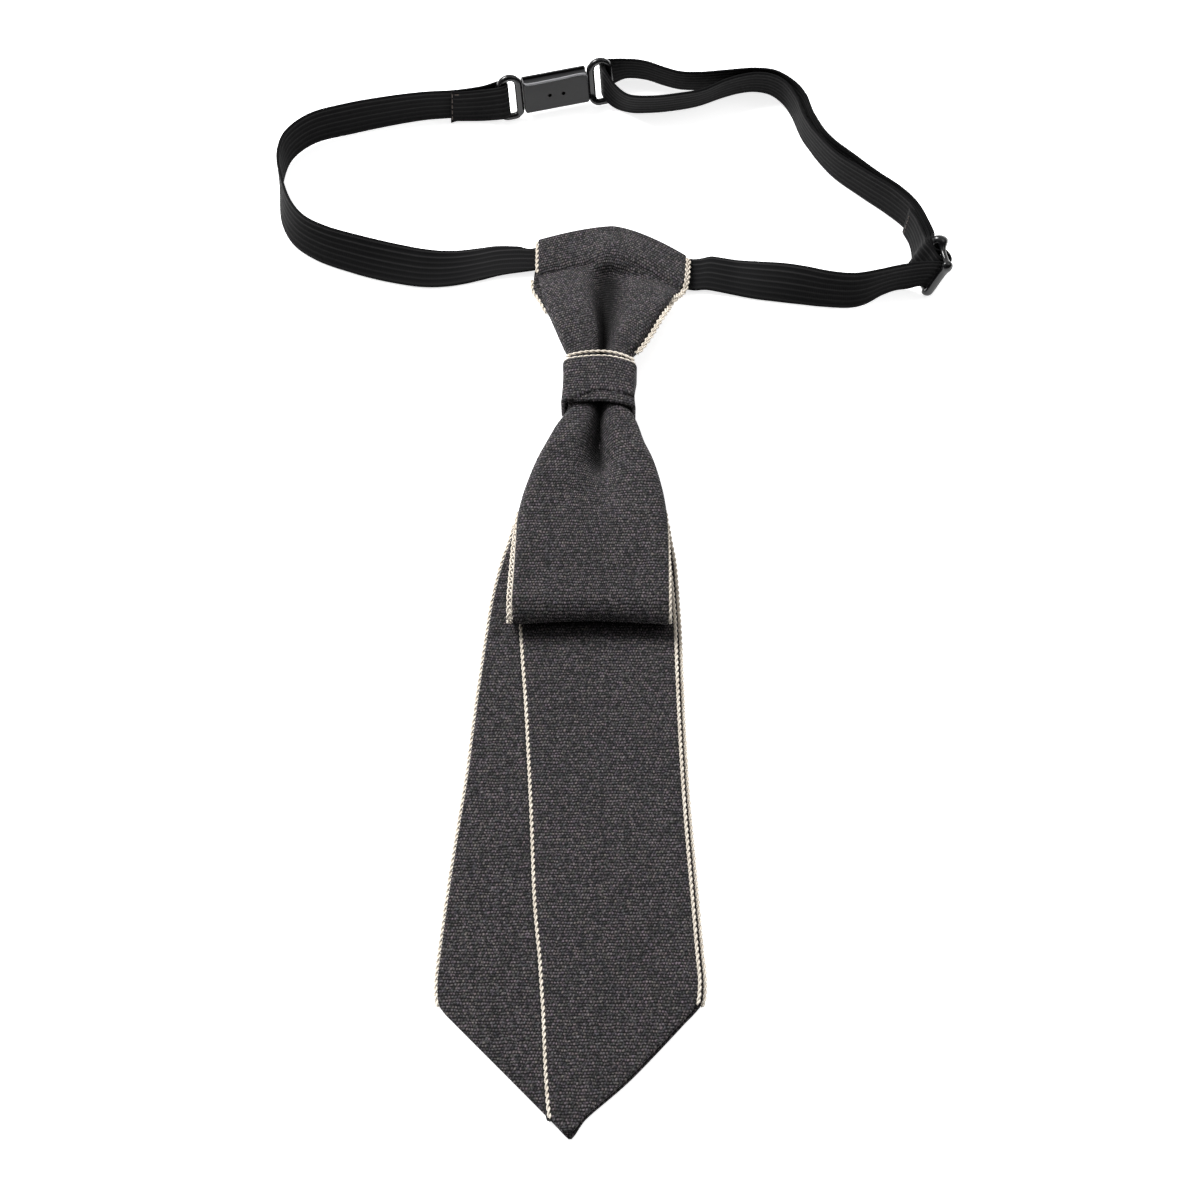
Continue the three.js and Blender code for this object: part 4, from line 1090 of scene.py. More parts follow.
# %% Smooth curve through stations
def smooth_point(points, t):
    last = len(points) - 1
    spot = last * t
    k = min(int(math.floor(spot)), last - 1)
    weight = spot - k
    p1, p2 = points[k], points[k + 1]
    p0 = points[k - 1] if k > 0 else 2 * p1 - p2
    p3 = points[k + 2] if k + 2 <= last else 2 * p2 - p1
    gaps = [max(np.dot(b - a, b - a), 0) ** 0.25 for a, b in ((p0, p1), (p1, p2), (p2, p3))]
    gap1 = gaps[1] if gaps[1] > 1e-4 else 1.0
    gap0 = gaps[0] if gaps[0] > 1e-4 else gap1
    gap2 = gaps[2] if gaps[2] > 1e-4 else gap1
    slope1 = ((p1 - p0) / gap0 - (p2 - p0) / (gap0 + gap1) + (p2 - p1) / gap1) * gap1
    slope2 = ((p2 - p1) / gap1 - (p3 - p1) / (gap1 + gap2) + (p3 - p2) / gap2) * gap1
    cubic = 2 * p1 - 2 * p2 + slope1 + slope2
    square = -3 * p1 + 3 * p2 - 2 * slope1 - slope2
    return p1 + weight * (slope1 + weight * (square + weight * cubic))


def smooth_line(points, count):
    points = [np.array(p, float) for p in points]
    return np.array([smooth_point(points, t) for t in np.linspace(0, 1, count)])


# %% Stations
def stations_of(rows):
    stations = []
    for x, y, tilt_x, tilt_y, lift, *noted in rows:
        width = noted[0] if noted else ELASTIC_WIDTH
        upright = math.sqrt(max(0, 1 - tilt_x**2 - tilt_y**2))
        across = unit(np.array([tilt_x, tilt_y, upright]))
        flatness = math.hypot(across[0], across[1])
        z = lift + width / 2 * across[2] + ELASTIC_THICKNESS / 2 * flatness
        stations.append((np.array([x, y, z]), across, width))
    return stations


CASING_WIDTH = 8.2
CASING_MIDDLE_X = 4.2
CASING_HALF_LENGTH = 23.0
CASING_SLACK = 0.5


def casing_station(x):
    bow = CASING_BOW_LEFT if x < CASING_MIDDLE_X else CASING_BOW_RIGHT
    away = (x - CASING_MIDDLE_X) / CASING_HALF_LENGTH
    y = CASING_TOP - CASING_SLACK - CASING_WIDTH / 2 - bow * abs(away) ** BOW_POWER
    steepness = BOW_POWER * bow * abs(away) ** (BOW_POWER - 1) / CASING_HALF_LENGTH
    across = unit(np.array([math.copysign(steepness, away), 1, 0]))
    return np.array([x, y, STRAP_Z]), across, CASING_WIDTH


# %% [markdown]
# ## Frames of the clasp and the slider
# Both plastic parts stand on the table and lean a little. Each has a frame of three directions, along
# the strap, across it and out through its face, and the strap's wraps round their bars are noted in
# those frames.

# %% Frames
def part_frame(centre, heading, lean):
    heading, lean = math.radians(heading), math.radians(lean)
    along = np.array([math.cos(heading), math.sin(heading), 0])
    level = np.array([-math.sin(heading), math.cos(heading), 0])
    across = level * math.sin(lean) + np.array([0, 0, math.cos(lean)])
    out = np.cross(along, across)
    return {"centre": np.array(centre), "along": along, "across": across, "out": out}


CLASP = part_frame([-14.1, 181.5, 7.8], 13.7, 16)
SLIDER = part_frame([101, 112.7, 6.95], 102, -26)


def in_frame(part, along, out):
    centre = part["centre"] + along * part["along"] + out * part["out"]
    return centre, part["across"], ELASTIC_WIDTH


def around_bar(part, centre_x, radius, first, last, count):
    stops = []
    for k in range(count + 1):
        turn = math.radians(mix(first, last, k / count))
        stops.append(in_frame(part, centre_x + radius * math.cos(turn), radius * math.sin(turn)))
    return stops


# %% Stations of the left strap
BOX_LENGTH = 20.7
BOX_HEIGHT = 11.0
BOX_DEPTH = 5.0
RING_HEIGHT = 16.4
RING_GAP = 0.3
RING_INNER_BAR = 2.0
RING_SLOT = 3.8
RING_OUTER_BAR = 1.4
RING_OUTER = BOX_LENGTH / 2 + RING_GAP + RING_INNER_BAR + RING_SLOT + RING_OUTER_BAR / 2
BAR_WRAP = 1.85

LEFT_ROWS = [
    [-24.6, 119.5, -0.12, 0.993, 1.4, 9.8],
    [-31, 119.3, -0.14, 0.99, 0.9, 11],
    [-37, 118.4, -0.2, 0.98, 0.4],
    [-42.5, 117.1, -0.22, 0.97, 0],
    [-48.4, 115.9, -0.13, 0.96, 0],
    [-54.2, 115.6, 0.1, 0.92, 0],
    [-60.5, 116.4, 0.19, 0.86, 0],
    [-67.5, 117.7, 0.21, 0.78, 0],
    [-74.5, 119.4, 0.24, 0.66, 0],
    [-85.3, 123.1, 0.26, 0.48, 0],
    [-92.4, 127.8, 0.31, 0.25, 0],
    [-96.5, 134.4, 0.26, 0.07, 0],
    [-98.7, 143.8, 0.09, 0, 0.12],
    [-99.3, 153, -0.08, 0.01, 0.15],
    [-97.2, 160.6, -0.13, 0.1, 0.15],
    [-90.5, 167.2, -0.1, 0.18, 0.12],
    [-78.8, 171.4, -0.08, 0.22, 0],
    [-64.2, 174.9, -0.04, 0.15, 0],
    [-54.9, 176.5, -0.01, 0.1, 0],
    [-46, 177.2, 0, 0.08, 0.06],
    [-36.6, 178.6, -0.03, 0.12, 0.2],
]
FOLDED_END = [
    [-36.6, 176.5, -0.03, 0.22, 0.3],
    [-45.4, 176.1, 0, 0.14, 0.1],
    [-46.9, 175.8, 0.04, 0.2, 0, 13],
]
LEFT_STATIONS = [casing_station(x) for x in (-0.3, -7, -14, -20)] + stations_of(LEFT_ROWS)
LEFT_STATIONS += around_bar(CLASP, -RING_OUTER, BAR_WRAP, -90, 90, 6) + stations_of(FOLDED_END)
print("left strap:", len(LEFT_STATIONS), "stations")

# %% Stations of the right strap
SLIDER_PITCH = 4.7
SLIDER_HEIGHT = 14.6
SEWN_WRAP = 1.75
OVER_WRAP = SEWN_WRAP + ELASTIC_THICKNESS + GAP

FRONT_ROWS = [
    [30, 114, 0.2, 0.979, 0.9],
    [33, 114.2, 0.15, 0.985, 1],
    [36.5, 113.6, 0.08, 0.99, 0.8],
    [41.5, 112.7, 0.12, 0.98, 0.3],
    [48.4, 111, 0.16, 0.92, 0],
    [55, 109.4, 0.15, 0.82, 0],
    [61.4, 107.6, 0.14, 0.66, 0],
    [68.3, 105.8, 0.07, 0.5, 0],
    [75.8, 105, -0.03, 0.42, 0],
    [80, 105.6, -0.03, 0.33, 0],
    [85.4, 107.8, -0.03, 0.09, 0],
    [90, 109.4, 0.04, 0.04, 0],
    [95.3, 110.2, 0.2, 0.1, 0.3],
]
FAR_ROWS = [
    [100, 121.4, 0.24, 0.06, 0],
    [98.9, 127.2, 0.13, 0.05, 0],
    [96.3, 133.6, 0.1, 0.06, 0],
    [91.8, 139, 0.11, 0.1, 0],
    [85.4, 144.9, 0.07, 0.07, 0],
    [78.6, 151.9, 0.03, 0.03, 0],
    [71.4, 159.6, 0, 0, 0],
    [66.6, 168.8, 0, 0, 0],
    [64.1, 177, 0, 0, 0],
    [61.2, 181.7, -0.02, -0.03, 0],
    [55.6, 186.6, -0.02, -0.13, 0],
    [49, 187.9, 0, -0.17, 0],
    [40.4, 187.3, 0, -0.2, 0],
    [31.5, 186.7, 0, -0.24, 0],
    [25.4, 187, -0.05, -0.24, 0],
    [20.5, 188.6, -0.06, -0.22, 0],
    [14.5, 191.1, -0.04, -0.22, 0],
    [8.8, 191.8, 0, -0.21, 0],
    [4.6, 190.8, -0.03, -0.05, 0],
]
NEAR_ROWS = [
    [4.8, 180.4, -0.03, -0.05, 0],
    [9, 177.6, -0.02, -0.24, 0],
    [15.9, 177.2, 0, -0.27, 0],
    [24.1, 178.2, 0.04, -0.26, 0],
    [31.7, 180, 0.08, -0.26, 0],
    [39.2, 183.6, 0.05, -0.22, 0],
    [44.6, 185.5, 0.02, -0.22, 0],
    [49.2, 186.2, -0.02, -0.2, 0],
    [54, 185.3, -0.03, -0.15, 0],
    [58.1, 182.1, -0.02, -0.05, 0],
    [61.2, 176.5, 0, 0, 0],
    [63.9, 167.9, 0, 0, 0],
    [67.3, 161.3, 0, 0, 0],
    [73, 153.2, 0.02, 0.02, 0],
    [82.1, 145.2, 0.07, 0.07, 0],
    [89.9, 138.7, 0.11, 0.1, 0],
    [95, 132.9, 0.1, 0.06, 0],
    [97.6, 126.9, 0.13, 0.05, 0],
    [98.7, 121.2, 0.24, 0.06, 0],
]
SEWN_END = [
    [97.4, 121, 0.24, 0.06, 0],
    [96.3, 126.6, 0.13, 0.05, 0],
    [94.2, 131.5, 0.1, 0.05, 0],
]
RIGHT_STATIONS = [casing_station(x) for x in (0.3, 8, 15)]
for x, y, tilt_x, tilt_y, width in ((21, 117.7, 0.42, 0.91, 9.6), (26.4, 114.1, 0.27, 0.96, 11.4)):
    RIGHT_STATIONS.append((np.array([x, y, STRAP_Z]), unit(np.array([tilt_x, tilt_y, 0])), width))
RIGHT_STATIONS += stations_of(FRONT_ROWS)
RIGHT_STATIONS += [in_frame(SLIDER, -2.8, -2)]
RIGHT_STATIONS += around_bar(SLIDER, 0, OVER_WRAP, 180, 0, 6)
RIGHT_STATIONS += around_bar(SLIDER, SLIDER_PITCH, SEWN_WRAP, 225, 270, 1)
RIGHT_STATIONS += [in_frame(SLIDER, 6.6, -1.75)] + stations_of(FAR_ROWS)
for beyond, out in ((0.4, -2.6), (0, 0), (0.4, 2.6)):
    RIGHT_STATIONS.append(in_frame(CLASP, RING_OUTER - BAR_WRAP + beyond, out))
RIGHT_STATIONS += stations_of(NEAR_ROWS)
RIGHT_STATIONS += [in_frame(SLIDER, 5.4, -3), in_frame(SLIDER, 3.2, -2.4), in_frame(SLIDER, 2, -1.4)]
RIGHT_STATIONS += around_bar(SLIDER, 0, SEWN_WRAP, 0, 250, 8)
RIGHT_STATIONS += [in_frame(SLIDER, 1.6, -2.5), in_frame(SLIDER, 4.2, -4)] + stations_of(SEWN_END)
print("right strap:", len(RIGHT_STATIONS), "stations")


# %% [markdown]
# ## The ribbed profile
# Cords of rubber run along the elastic between its yarns, so its faces have fine ribs, and its two
# edges are woven thicker. The profile is a closed outline across the strap.

# %% Ribs
RIBS = 7
RIB_DEPTH = 0.08
PROFILE_POINTS = 56
SELVEDGE = 0.35
CROWDING = 0.96


def strap_profile(width):
    s = np.linspace(-1, 1, PROFILE_POINTS)
    s = np.sin(s * math.pi / 2 * CROWDING) / math.sin(math.pi / 2 * CROWDING)
    ribs = 0.92 + RIB_DEPTH * np.cos(math.pi * RIBS * s) * smoothstep(0.98, 0.85, np.abs(s))
    half = ELASTIC_THICKNESS / 2 * ribs * rim((1 - np.abs(s)) * width / 2, SELVEDGE)
    return s * width / 2, half


# %% A strap along its stations
STRAP_STEP = 0.9


def strap_route(stations):
    centres, tilts, widths = zip(*stations)
    spans = len(stations) - 1
    route, tilt, width = [], [], []
    for k in range(spans):
        steps = max(1, round(np.linalg.norm(centres[k + 1] - centres[k]) / STRAP_STEP))
        for i in range(0 if k == 0 else 1, steps + 1):
            t = (k + i / steps) / spans
            route.append(smooth_point(centres, t))
            tilt.append(unit(smooth_point(tilts, t)))
            width.append(mix(widths[k], widths[k + 1], i / steps))
    return np.array(route), np.array(tilt), width


def strap_piece(name, stations, material, node_name):
    route, tilt, widths = strap_route(stations)
    normal = unit(np.cross(tilt, unit(np.gradient(route, axis=0))))
    length = run_length(route)
    upper, lower, uv = [], [], []
    for k, width in enumerate(widths):
        s, half = strap_profile(width)
        half = half * float(rim(min(length[k], length[-1] - length[k]) + 0.08, 0.3))
        middle = route[k] + s[:, None] * tilt[k]
        upper.append(middle + half[:, None] * normal[k])
        lower.append(middle - half[:, None] * normal[k])
        uv.append(np.stack([s, np.full_like(s, length[k])], 1))
    rows, columns = len(route), PROFILE_POINTS
    start = rows * columns
    faces = grid_faces(rows, columns, 0, False, False)
    faces += grid_faces(rows, columns, start, False, True)
    for i, flip in ((0, False), (rows - 1, True)):
        for a in range(i * columns, (i + 1) * columns - 1):
            quad = (a, start + a, start + a + 1, a + 1)
            faces.append(quad[::-1] if flip else quad)
    both = np.concatenate(uv * 2) * UV_SCALE
    piece = new_piece(name, np.concatenate(upper + lower), faces, material, both)
    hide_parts(node_name)
    return piece, length[-1]


# %% Elastic material
PICK = 0.62


def elastic_material():
    material, tree, shader = new_material("black_elastic")
    place = node(tree, "ShaderNodeUVMap", uv_map="cloth").outputs[0]
    split = put(tree, node(tree, "ShaderNodeSeparateXYZ"), Vector=place)
    rib_turn = math.pi * RIBS / (ELASTIC_WIDTH / 2 * UV_SCALE)
    rib = maths(tree, "MULTIPLY", split.outputs[0], rib_turn)
    crest = maths(tree, "MULTIPLY_ADD", maths(tree, "COSINE", rib), 0.5, 0.5)
    crest = maths(tree, "POWER", crest, 5.0)
    pick = maths(tree, "MULTIPLY", split.outputs[1], 2 * math.pi / (PICK * UV_SCALE))
    picks = maths(tree, "MULTIPLY_ADD", maths(tree, "SINE", pick), 0.5, 0.5)
    fuzz = noise(tree, place, 420.0, 3.0)
    level = maths(tree, "MULTIPLY", crest, maths(tree, "MULTIPLY_ADD", fuzz, 0.7, 0.5))
    which = maths(tree, "ROUND", maths(tree, "DIVIDE", rib, 2 * math.pi))
    lively = put(tree, node(tree, "ShaderNodeTexWhiteNoise", noise_dimensions="1D"), W=which)
    uneven = maths(tree, "MULTIPLY_ADD", lively.outputs[0], 0.8, 0.35)
    level = maths(tree, "MULTIPLY", level, uneven)
    height = maths(tree, "MULTIPLY_ADD", picks, 0.35, maths(tree, "MULTIPLY", fuzz, 0.6))
    dress(
        tree, shader,
        colour=colour_mix(tree, level, (0.003, 0.003, 0.0033, 1), (0.022, 0.0215, 0.022, 1)),
        roughness=maths(tree, "MULTIPLY_ADD", fuzz, -0.2, 0.85),
        relief=(height, 0.4, 0.00012),
        Specular_IOR_Level=0.08, Sheen_Weight=0.01,
    )
    return material


ELASTIC = elastic_material()
strap_left, left_length = strap_piece("strap_left_elastic", LEFT_STATIONS, ELASTIC, "strap_left")
strap_right, right_length = strap_piece("strap_right_elastic", RIGHT_STATIONS, ELASTIC, "strap_right")
print("elastic lengths", round(left_length), round(right_length), "mm")

# %% [markdown]
# ## Sewn ends
# Where the elastic comes back on itself, a row of brownish stitches holds its end, and the stitches
# go on a little way along the edge. Each stitch is a short rod of thread that lies on the elastic.

# %% Stitches
THREAD = thread_material("brown_thread", (0.11, 0.08, 0.065), (0.02, 0.016, 0.014))
STITCH = 1.5
STITCH_GAP = 0.7
STITCH_RADIUS = 0.17
STITCH_SAG = 0.14


def sewn_row(name, path, facing):
    path, spots = even_path(np.hstack([path, facing]), 0.1)
    points, faces = [], []
    for start in np.arange(0.3, spots[-1] - STITCH, STITCH + STITCH_GAP):
        inside = (spots >= start) & (spots <= start + STITCH)
        line, up = path[inside, :3], unit(path[inside, 3:])
        done = spots[inside] - start
        sag = smoothstep(0, 0.5, done) * smoothstep(0, 0.5, start + STITCH - spots[inside])
        route = line + up * (ELASTIC_THICKNESS / 2 - 0.1 + STITCH_SAG * sag)[:, None]
        side = np.cross(unit(np.gradient(line, axis=0)), up)
        faces += tube_faces(len(route), STRAND_SIDES, sum(len(p) for p in points))
        stitch = tube(route, side, up, STITCH_RADIUS * np.ones(len(route)))
        points.append(stitch.reshape(-1, 3))
    new_piece(name, np.concatenate(points), faces, THREAD)


def end_of(stations, inset):
    centres, tilts = [s[0] for s in stations], [s[1] for s in stations]
    total = sum(np.linalg.norm(b - a) for a, b in zip(centres, centres[1:]))
    spot = 1 - inset / total
    centre, across = smooth_point(centres, spot), unit(smooth_point(tilts, spot))
    ahead = unit(smooth_point(centres, spot) - smooth_point(centres, spot - 0.02))
    facing = unit(np.cross(across, ahead))
    facing = facing if facing[1] < 0 else -facing
    return centre, across, facing


# %% Rows of stitches at the two sewn ends
END_INSET = 1.2
SIDE_ROW = 5.3
for side, stations in (("left", LEFT_STATIONS), ("right", RIGHT_STATIONS)):
    centre, across, facing = end_of(stations, END_INSET)
    rows = [centre + across * s for s in np.linspace(-5.2, SIDE_ROW, 30)]
    facings = [facing] * 30
    if side == "left":
        for inset in np.linspace(END_INSET, 9.0, 20)[1:]:
            centre, across, facing = end_of(stations, inset)
            rows.append(centre + across * SIDE_ROW)
            facings.append(facing)
    sewn_row("strap_" + side + "_stitches", np.array(rows), np.array(facings))

# %% [markdown]
# ## The breakaway clasp
# Two halves of black plastic push together and come apart if the tie is pulled hard. What shows is a
# bevelled box with a channel along its top, a light grey lip beside it that is a painted highlight, two
# small holes in its face and a ring at each end. One ring has the elastic sewn round it and the other
# lets it slide. The rings are rounded bars bent to a rectangle with soft corners.

# %% Placing a shape in a part's frame
def placed(part, points):
    points = np.asarray(points, float)
    axes = np.array([part["along"], part["across"], part["out"]])
    return part["centre"] + points @ axes


# %% A bar bent to a closed loop
BAR_SIDES = 14
SQUARENESS = 0.35
CORNER_STEPS = 24


def loop_tube(outline, thickness, depth):
    count = len(outline)
    forward = unit(np.roll(outline, -1, 0) - np.roll(outline, 1, 0))
    outward = np.stack([forward[:, 1], -forward[:, 0], np.zeros(count)], 1)
    turns = np.linspace(0, 2 * math.pi, BAR_SIDES, endpoint=False)
    across, rise = np.cos(turns), np.sin(turns)
    square = 1 / np.maximum(np.abs(across), np.abs(rise)) ** SQUARENESS
    across, rise = across * square, rise * square
    thickness, depth = [np.broadcast_to(size, (count,))[:, None] for size in (thickness, depth)]
    ring = outward[:, None] * (across * thickness / 2)[..., None]
    ring = ring + np.array([0, 0, 1.0]) * (rise * depth / 2)[..., None]
    faces = []
    for i in range(count):
        a, b = i * BAR_SIDES, (i + 1) % count * BAR_SIDES
        for k in range(BAR_SIDES):
            n = (k + 1) % BAR_SIDES
            faces.append((a + k, a + n, b + n, b + k))
    return (outline[:, None] + ring).reshape(-1, 3), faces


def rounded_rectangle(x0, x1, half_height, low_corner, high_corner):
    outline = []
    for x, high, corner, start in [(x1, -1, low_corner, -90), (x1, 1, high_corner, 0),
                                   (x0, 1, high_corner, 90), (x0, -1, low_corner, 180)]:
        cx = x - corner if x == x1 else x + corner
        cy = high * (half_height - corner)
        for k in range(CORNER_STEPS + 1):
            turn = math.radians(start + 90 * k / CORNER_STEPS)
            outline.append((cx + corner * math.cos(turn), cy + corner * math.sin(turn), 0))
    fine, _ = even_path(np.array(outline + outline[:1]), 0.3)
    return fine[:-1]


# %% Black plastics
def plastic_material(name, colour, rough, texture, coat):
    material, tree, shader = new_material(name)
    fine, smear = grain(tree, (1500.0, 2.0), (120.0, 3.0))
    darker, lighter = [(*[share * c for c in colour], 1) for share in (0.8, 1.2)]
    dress(
        tree, shader,
        colour=colour_mix(tree, smear, darker, lighter),
        roughness=maths(tree, "MULTIPLY_ADD", smear, 0.16, rough - 0.08),
        relief=(fine, texture, 0.00008),
        Coat_Weight=coat, Coat_Roughness=0.1, Specular_IOR_Level=0.3,
    )
    return material


SATIN = plastic_material("satin_plastic", (0.0115, 0.0115, 0.0122), 0.4, 0.25, 0.0)
GLOSSY = plastic_material("glossy_plastic", (0.004, 0.004, 0.0045), 0.22, 0.05, 0.3)

# %% Rings of the clasp
RING_ROD = 2.1
RING_RAISED = 0.4
RING_LEAN = 1.4
RING_FOOT_CORNER = 2.0
RING_HEAD_CORNER = 3.0
RING_INNER_ROD = 2.5
RING_BEYOND = 0.5

RINGS = (("clasp_ring_socket", -1, "clasp_socket"), ("clasp_ring_plug", 1, "clasp_plug"))
for label, side, cad in RINGS:
    near = BOX_LENGTH / 2 + RING_GAP + RING_INNER_BAR / 2
    ends = sorted([side * near, side * (RING_OUTER + RING_BEYOND)])
    half_ring = (RING_HEIGHT - RING_ROD) / 2
    outline = rounded_rectangle(*ends, half_ring, RING_FOOT_CORNER, RING_HEAD_CORNER)
    inner = smoothstep(0.6, 0.2, np.abs(outline[:, 0] - side * near))
    outline[:, 1] += RING_RAISED
    if side > 0:
        outline[:, 2] = RING_LEAN * smoothstep(-3, -8, outline[:, 1])
    points, faces = loop_tube(outline, mix(RING_ROD, RING_INNER_ROD, inner), RING_ROD)
    ring = new_piece(label, placed(CLASP, points), faces, GLOSSY)
    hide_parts(cad)

# %% Solids between outlines
def add_loft(form, outlines):
    rings = [[form.verts.new(p) for p in to_scene(placed(CLASP, line))] for line in outlines]
    for a, b in zip(rings, rings[1:]):
        for k in range(len(a)):
            n = (k + 1) % len(a)
            form.faces.new((a[k], a[n], b[n], b[k]))
    form.faces.new(rings[0][::-1])
    form.faces.new(rings[-1])


def lofted(name, solids):
    form = bmesh.new()
    for outlines in solids:
        add_loft(form, outlines)
    bmesh.ops.recalc_face_normals(form, faces=form.faces)
    mesh = bpy.data.meshes.new(name)
    form.to_mesh(mesh)
    form.free()
    made = bpy.data.objects.new(name, mesh)
    bpy.context.scene.collection.objects.link(made)
    return made


# %% Box of the clasp
BOX_BEVEL = 0.6
BOX_END = 0.35
SOFT_EDGE = 0.00022


def box_section(h, d, b):
    return [
        (-h + b, d), (h - 0.6, d), (h - 0.5, d + 0.12), (h - 0.25, d + 0.1), (h, d - 0.25),
        (h, d - 0.75), (h - 0.9, d - 0.9), (h - 0.9, -d + 0.9), (h, -d + 0.8), (h, -d + 0.15),
        (h - 0.2, -d), (-h + b, -d), (-h, -d + b), (-h, d - b),
    ]


half_length, half_height, half_depth = BOX_LENGTH / 2, BOX_HEIGHT / 2, BOX_DEPTH / 2
section = np.array(box_section(half_height, half_depth, BOX_BEVEL))
box_outlines = []
for x, inset in ((-half_length, BOX_END), (-half_length + BOX_END, 0),
                 (half_length - BOX_END, 0), (half_length, BOX_END)):
    shrunk = section * (1 - inset / np.array([half_height, half_depth]))
    box_outlines.append(np.insert(shrunk, 0, x, axis=1))
box_piece = lofted("clasp_box", [box_outlines])
box_piece.data.materials.append(SATIN)
soften = box_piece.modifiers.new("soft_edges", "BEVEL")
soften.width = SOFT_EDGE
soften.segments = 3
soften.limit_method = "ANGLE"
soften.angle_limit = math.radians(25)

# %% Holes in the clasp's face
HOLE_RADIUS = 0.62
HOLE_DEPTH = 1.6
HOLE_POINTS = 20


def hole_outlines(x, y):
    turns = np.linspace(0, 2 * math.pi, HOLE_POINTS, endpoint=False)
    circle = np.stack([x + HOLE_RADIUS * np.cos(turns), y + HOLE_RADIUS * np.sin(turns)], 1)
    return [np.insert(circle, 2, z, axis=1) for z in (half_depth - HOLE_DEPTH, half_depth + 1)]


drills = lofted("drill", [hole_outlines(-2.3, 0.0), hole_outlines(2.1, -0.2)])
cut = box_piece.modifiers.new("holes", "BOOLEAN")
cut.operation = "DIFFERENCE"
cut.object = drills
cut.solver = "EXACT"
bpy.context.view_layer.update()
evaluated = box_piece.evaluated_get(bpy.context.evaluated_depsgraph_get())
finished = bpy.data.meshes.new_from_object(evaluated)
box_piece.modifiers.clear()
box_piece.data = finished
bpy.data.objects.remove(drills)
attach(box_piece, "root")
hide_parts("clasp_socket", "clasp_plug")
print("clasp box", len(box_piece.data.polygons), "faces")

# %% Lip along the box's upper front edge, light grey as a painted highlight
LIP_RADIUS = 0.36
LIP_POINTS = 60
LIP_SIDES = 10

lip_height = half_height - 0.05
lip_line = smooth_line([
    (-half_length + 0.2, half_height, -half_depth + 0.5), (-half_length + 0.25, half_height, 0),
    (-half_length + 0.5, lip_height, half_depth - 0.4), (-half_length + 1.6, lip_height, half_depth),
    (0, lip_height, half_depth), (half_length - 0.9, lip_height, half_depth),
    (half_length - 0.3, half_height - 0.8, half_depth),
    (half_length - 0.3, half_height - 3.2, half_depth - 0.1),
], LIP_POINTS)
sideways, upward = np.tile([0, 1.0, 0], (LIP_POINTS, 1)), np.tile([0.0, 0, 1.0], (LIP_POINTS, 1))
from_start = np.linspace(0.2, 0.8, LIP_POINTS)
lip_radius = LIP_RADIUS * rim(from_start, 0.25) * rim(from_start[::-1], 0.25)
lip = tube(lip_line, sideways, upward, lip_radius, LIP_SIDES)
lip_faces = tube_faces(LIP_POINTS, LIP_SIDES, 0)
# The lip is a real thin rod; its light grey colour is a painted highlight.
LIP_HIGHLIGHT_PLASTIC = plastic_material("painted_highlight_plastic", (0.22, 0.22, 0.23), 0.35, 0.1, 0.0)
new_piece("clasp_highlight_lip", placed(CLASP, lip.reshape(-1, 3)), lip_faces, LIP_HIGHLIGHT_PLASTIC)

# %% [markdown]
# ## The slider
# A glossy three-bar slider holds the strap's loop. It is a rounded frame with a bar across its
# middle, seen nearly edge on, so its rails show as shiny rods and its far corner as a round knob.

# %% Slider
RAIL = 1.5
RAIL_DEPTH = 1.7
SWELLING_REACH = 1.7
NEAR_BAR = 0.7
MIDDLE_BAR_RADIUS = 0.75
MIDDLE_BAR_POINTS = 12

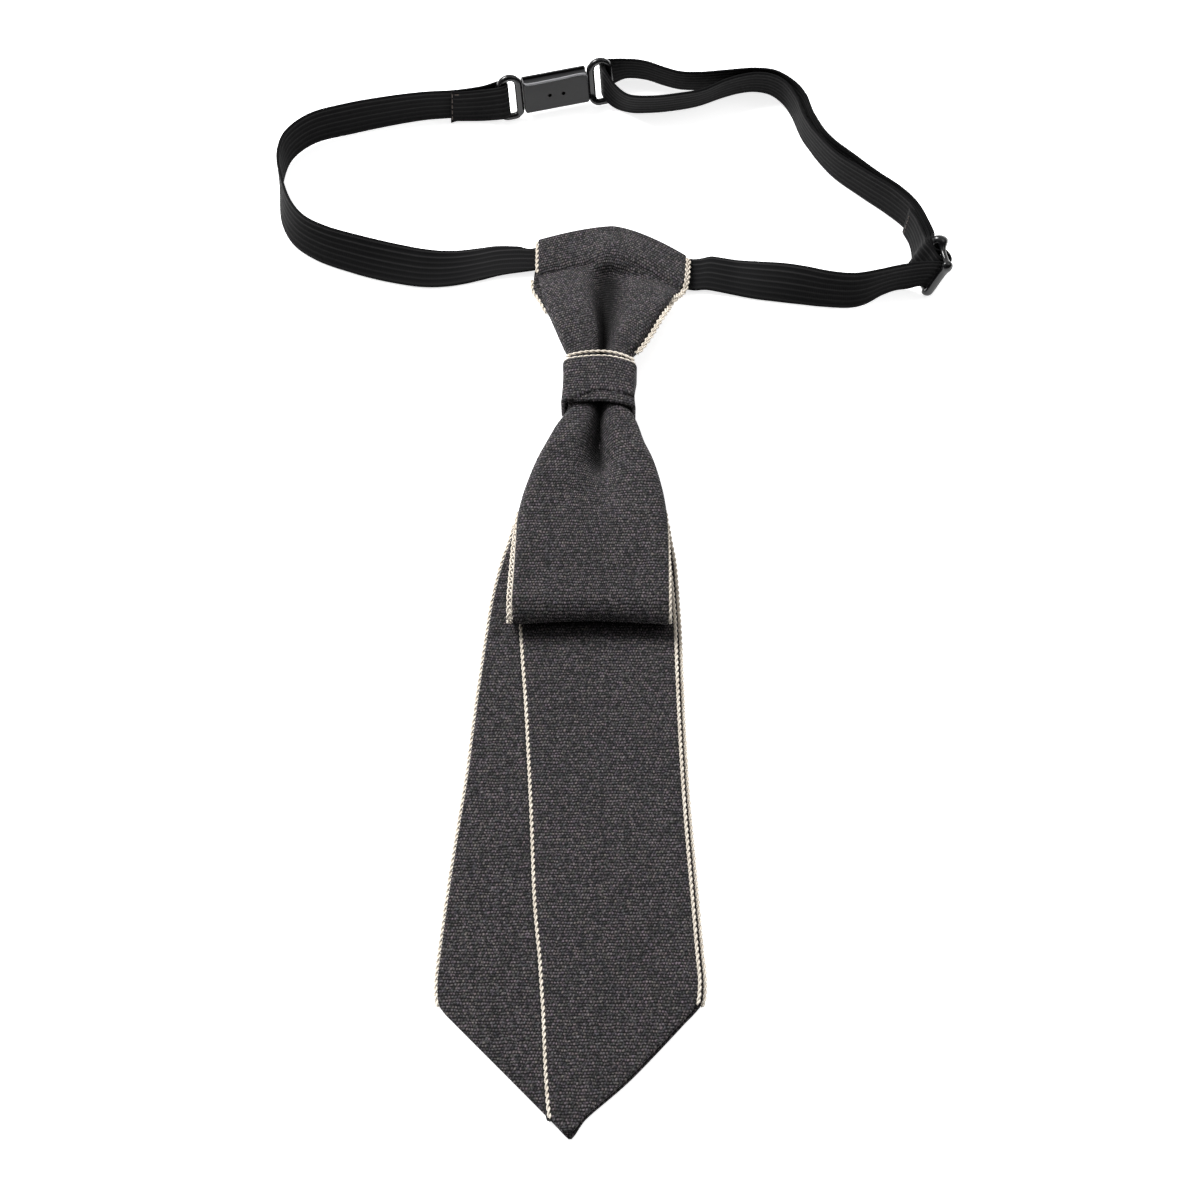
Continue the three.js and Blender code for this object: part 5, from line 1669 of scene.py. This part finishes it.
frame_line = rounded_rectangle(-SLIDER_PITCH, SLIDER_PITCH, (SLIDER_HEIGHT - RAIL) / 2, 1.6, 1.2)
far_high = smoothstep(0, 4, frame_line[:, 0]) * smoothstep(0, 6, frame_line[:, 1])
near_low = smoothstep(0, -4, frame_line[:, 0]) * smoothstep(4, -6, frame_line[:, 1])
frame_line += np.stack([-0.7 * near_low, 0.9 * far_high, 0 * far_high], 1)
swelling = np.zeros(len(frame_line))
for end, amount in ((SLIDER_PITCH, 3.6), (-SLIDER_PITCH, 1.2)):
    corner_away = np.linalg.norm(frame_line[:, :2] - [end, SLIDER_HEIGHT / 2 - 0.5], axis=1)
    swelling += amount * np.exp(-((corner_away / SWELLING_REACH) ** 2))
near_bar = NEAR_BAR * smoothstep(1.5, 0.5, frame_line[:, 0] + SLIDER_PITCH)
rail_width = RAIL + 0.7 * swelling + near_bar
points, faces = loop_tube(frame_line, rail_width, RAIL_DEPTH + swelling + near_bar)

bar_end = SLIDER_HEIGHT / 2 - 1
bar_line = np.zeros((MIDDLE_BAR_POINTS, 3))
bar_line[:, 1] = np.linspace(-bar_end, bar_end, MIDDLE_BAR_POINTS)
sideways, upward = [np.tile(axis, (MIDDLE_BAR_POINTS, 1)) for axis in ([1.0, 0, 0], [0, 0, 1.0])]
bar = tube(bar_line, sideways, upward, MIDDLE_BAR_RADIUS, 12)
faces += tube_faces(MIDDLE_BAR_POINTS, 12, len(points))
points = np.concatenate([points, bar.reshape(-1, 3)])
slider = new_piece("slider_frame", placed(SLIDER, points), faces, GLOSSY)
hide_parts("slider")

# %% [markdown]
# ## Cloth facts
# The tail, the loop, the fan and the band are sheets of cloth, so each states the size it was cut to.
# The two straps are bands of elastic.

# %% Printed cut sizes of the sheets
def surface_area(grid, ring=False):
    rolled = np.roll(grid, -1, 0) if ring else grid[1:]
    base = grid if ring else grid[:-1]
    d1 = rolled[:, 1:] - base[:, :-1]
    d2 = rolled[:, :-1] - base[:, 1:]
    return 0.5 * np.linalg.norm(np.cross(d1, d2), axis=2).sum() / 1e6


def declare(piece, grid, ring=False):
    area = surface_area(grid, ring)
    length = path_length(grid, 0)[-1].max() / 1000
    width = path_length(grid, 1)[:, -1].max() / 1000
    if ring:
        length = area / width
    cut_size = [round(1000 * width), round(1000 * length)]
    print(piece.name, "cut", *cut_size, "mm, area", round(1e6 * area))


declare(tail_under, tail_under_grid)
declare(tail_over, tail_over_grid)
declare(front_loop, loop_grid)
declare(neck_fold, fan_grid)
declare(knot_band, band_grid, ring=True)
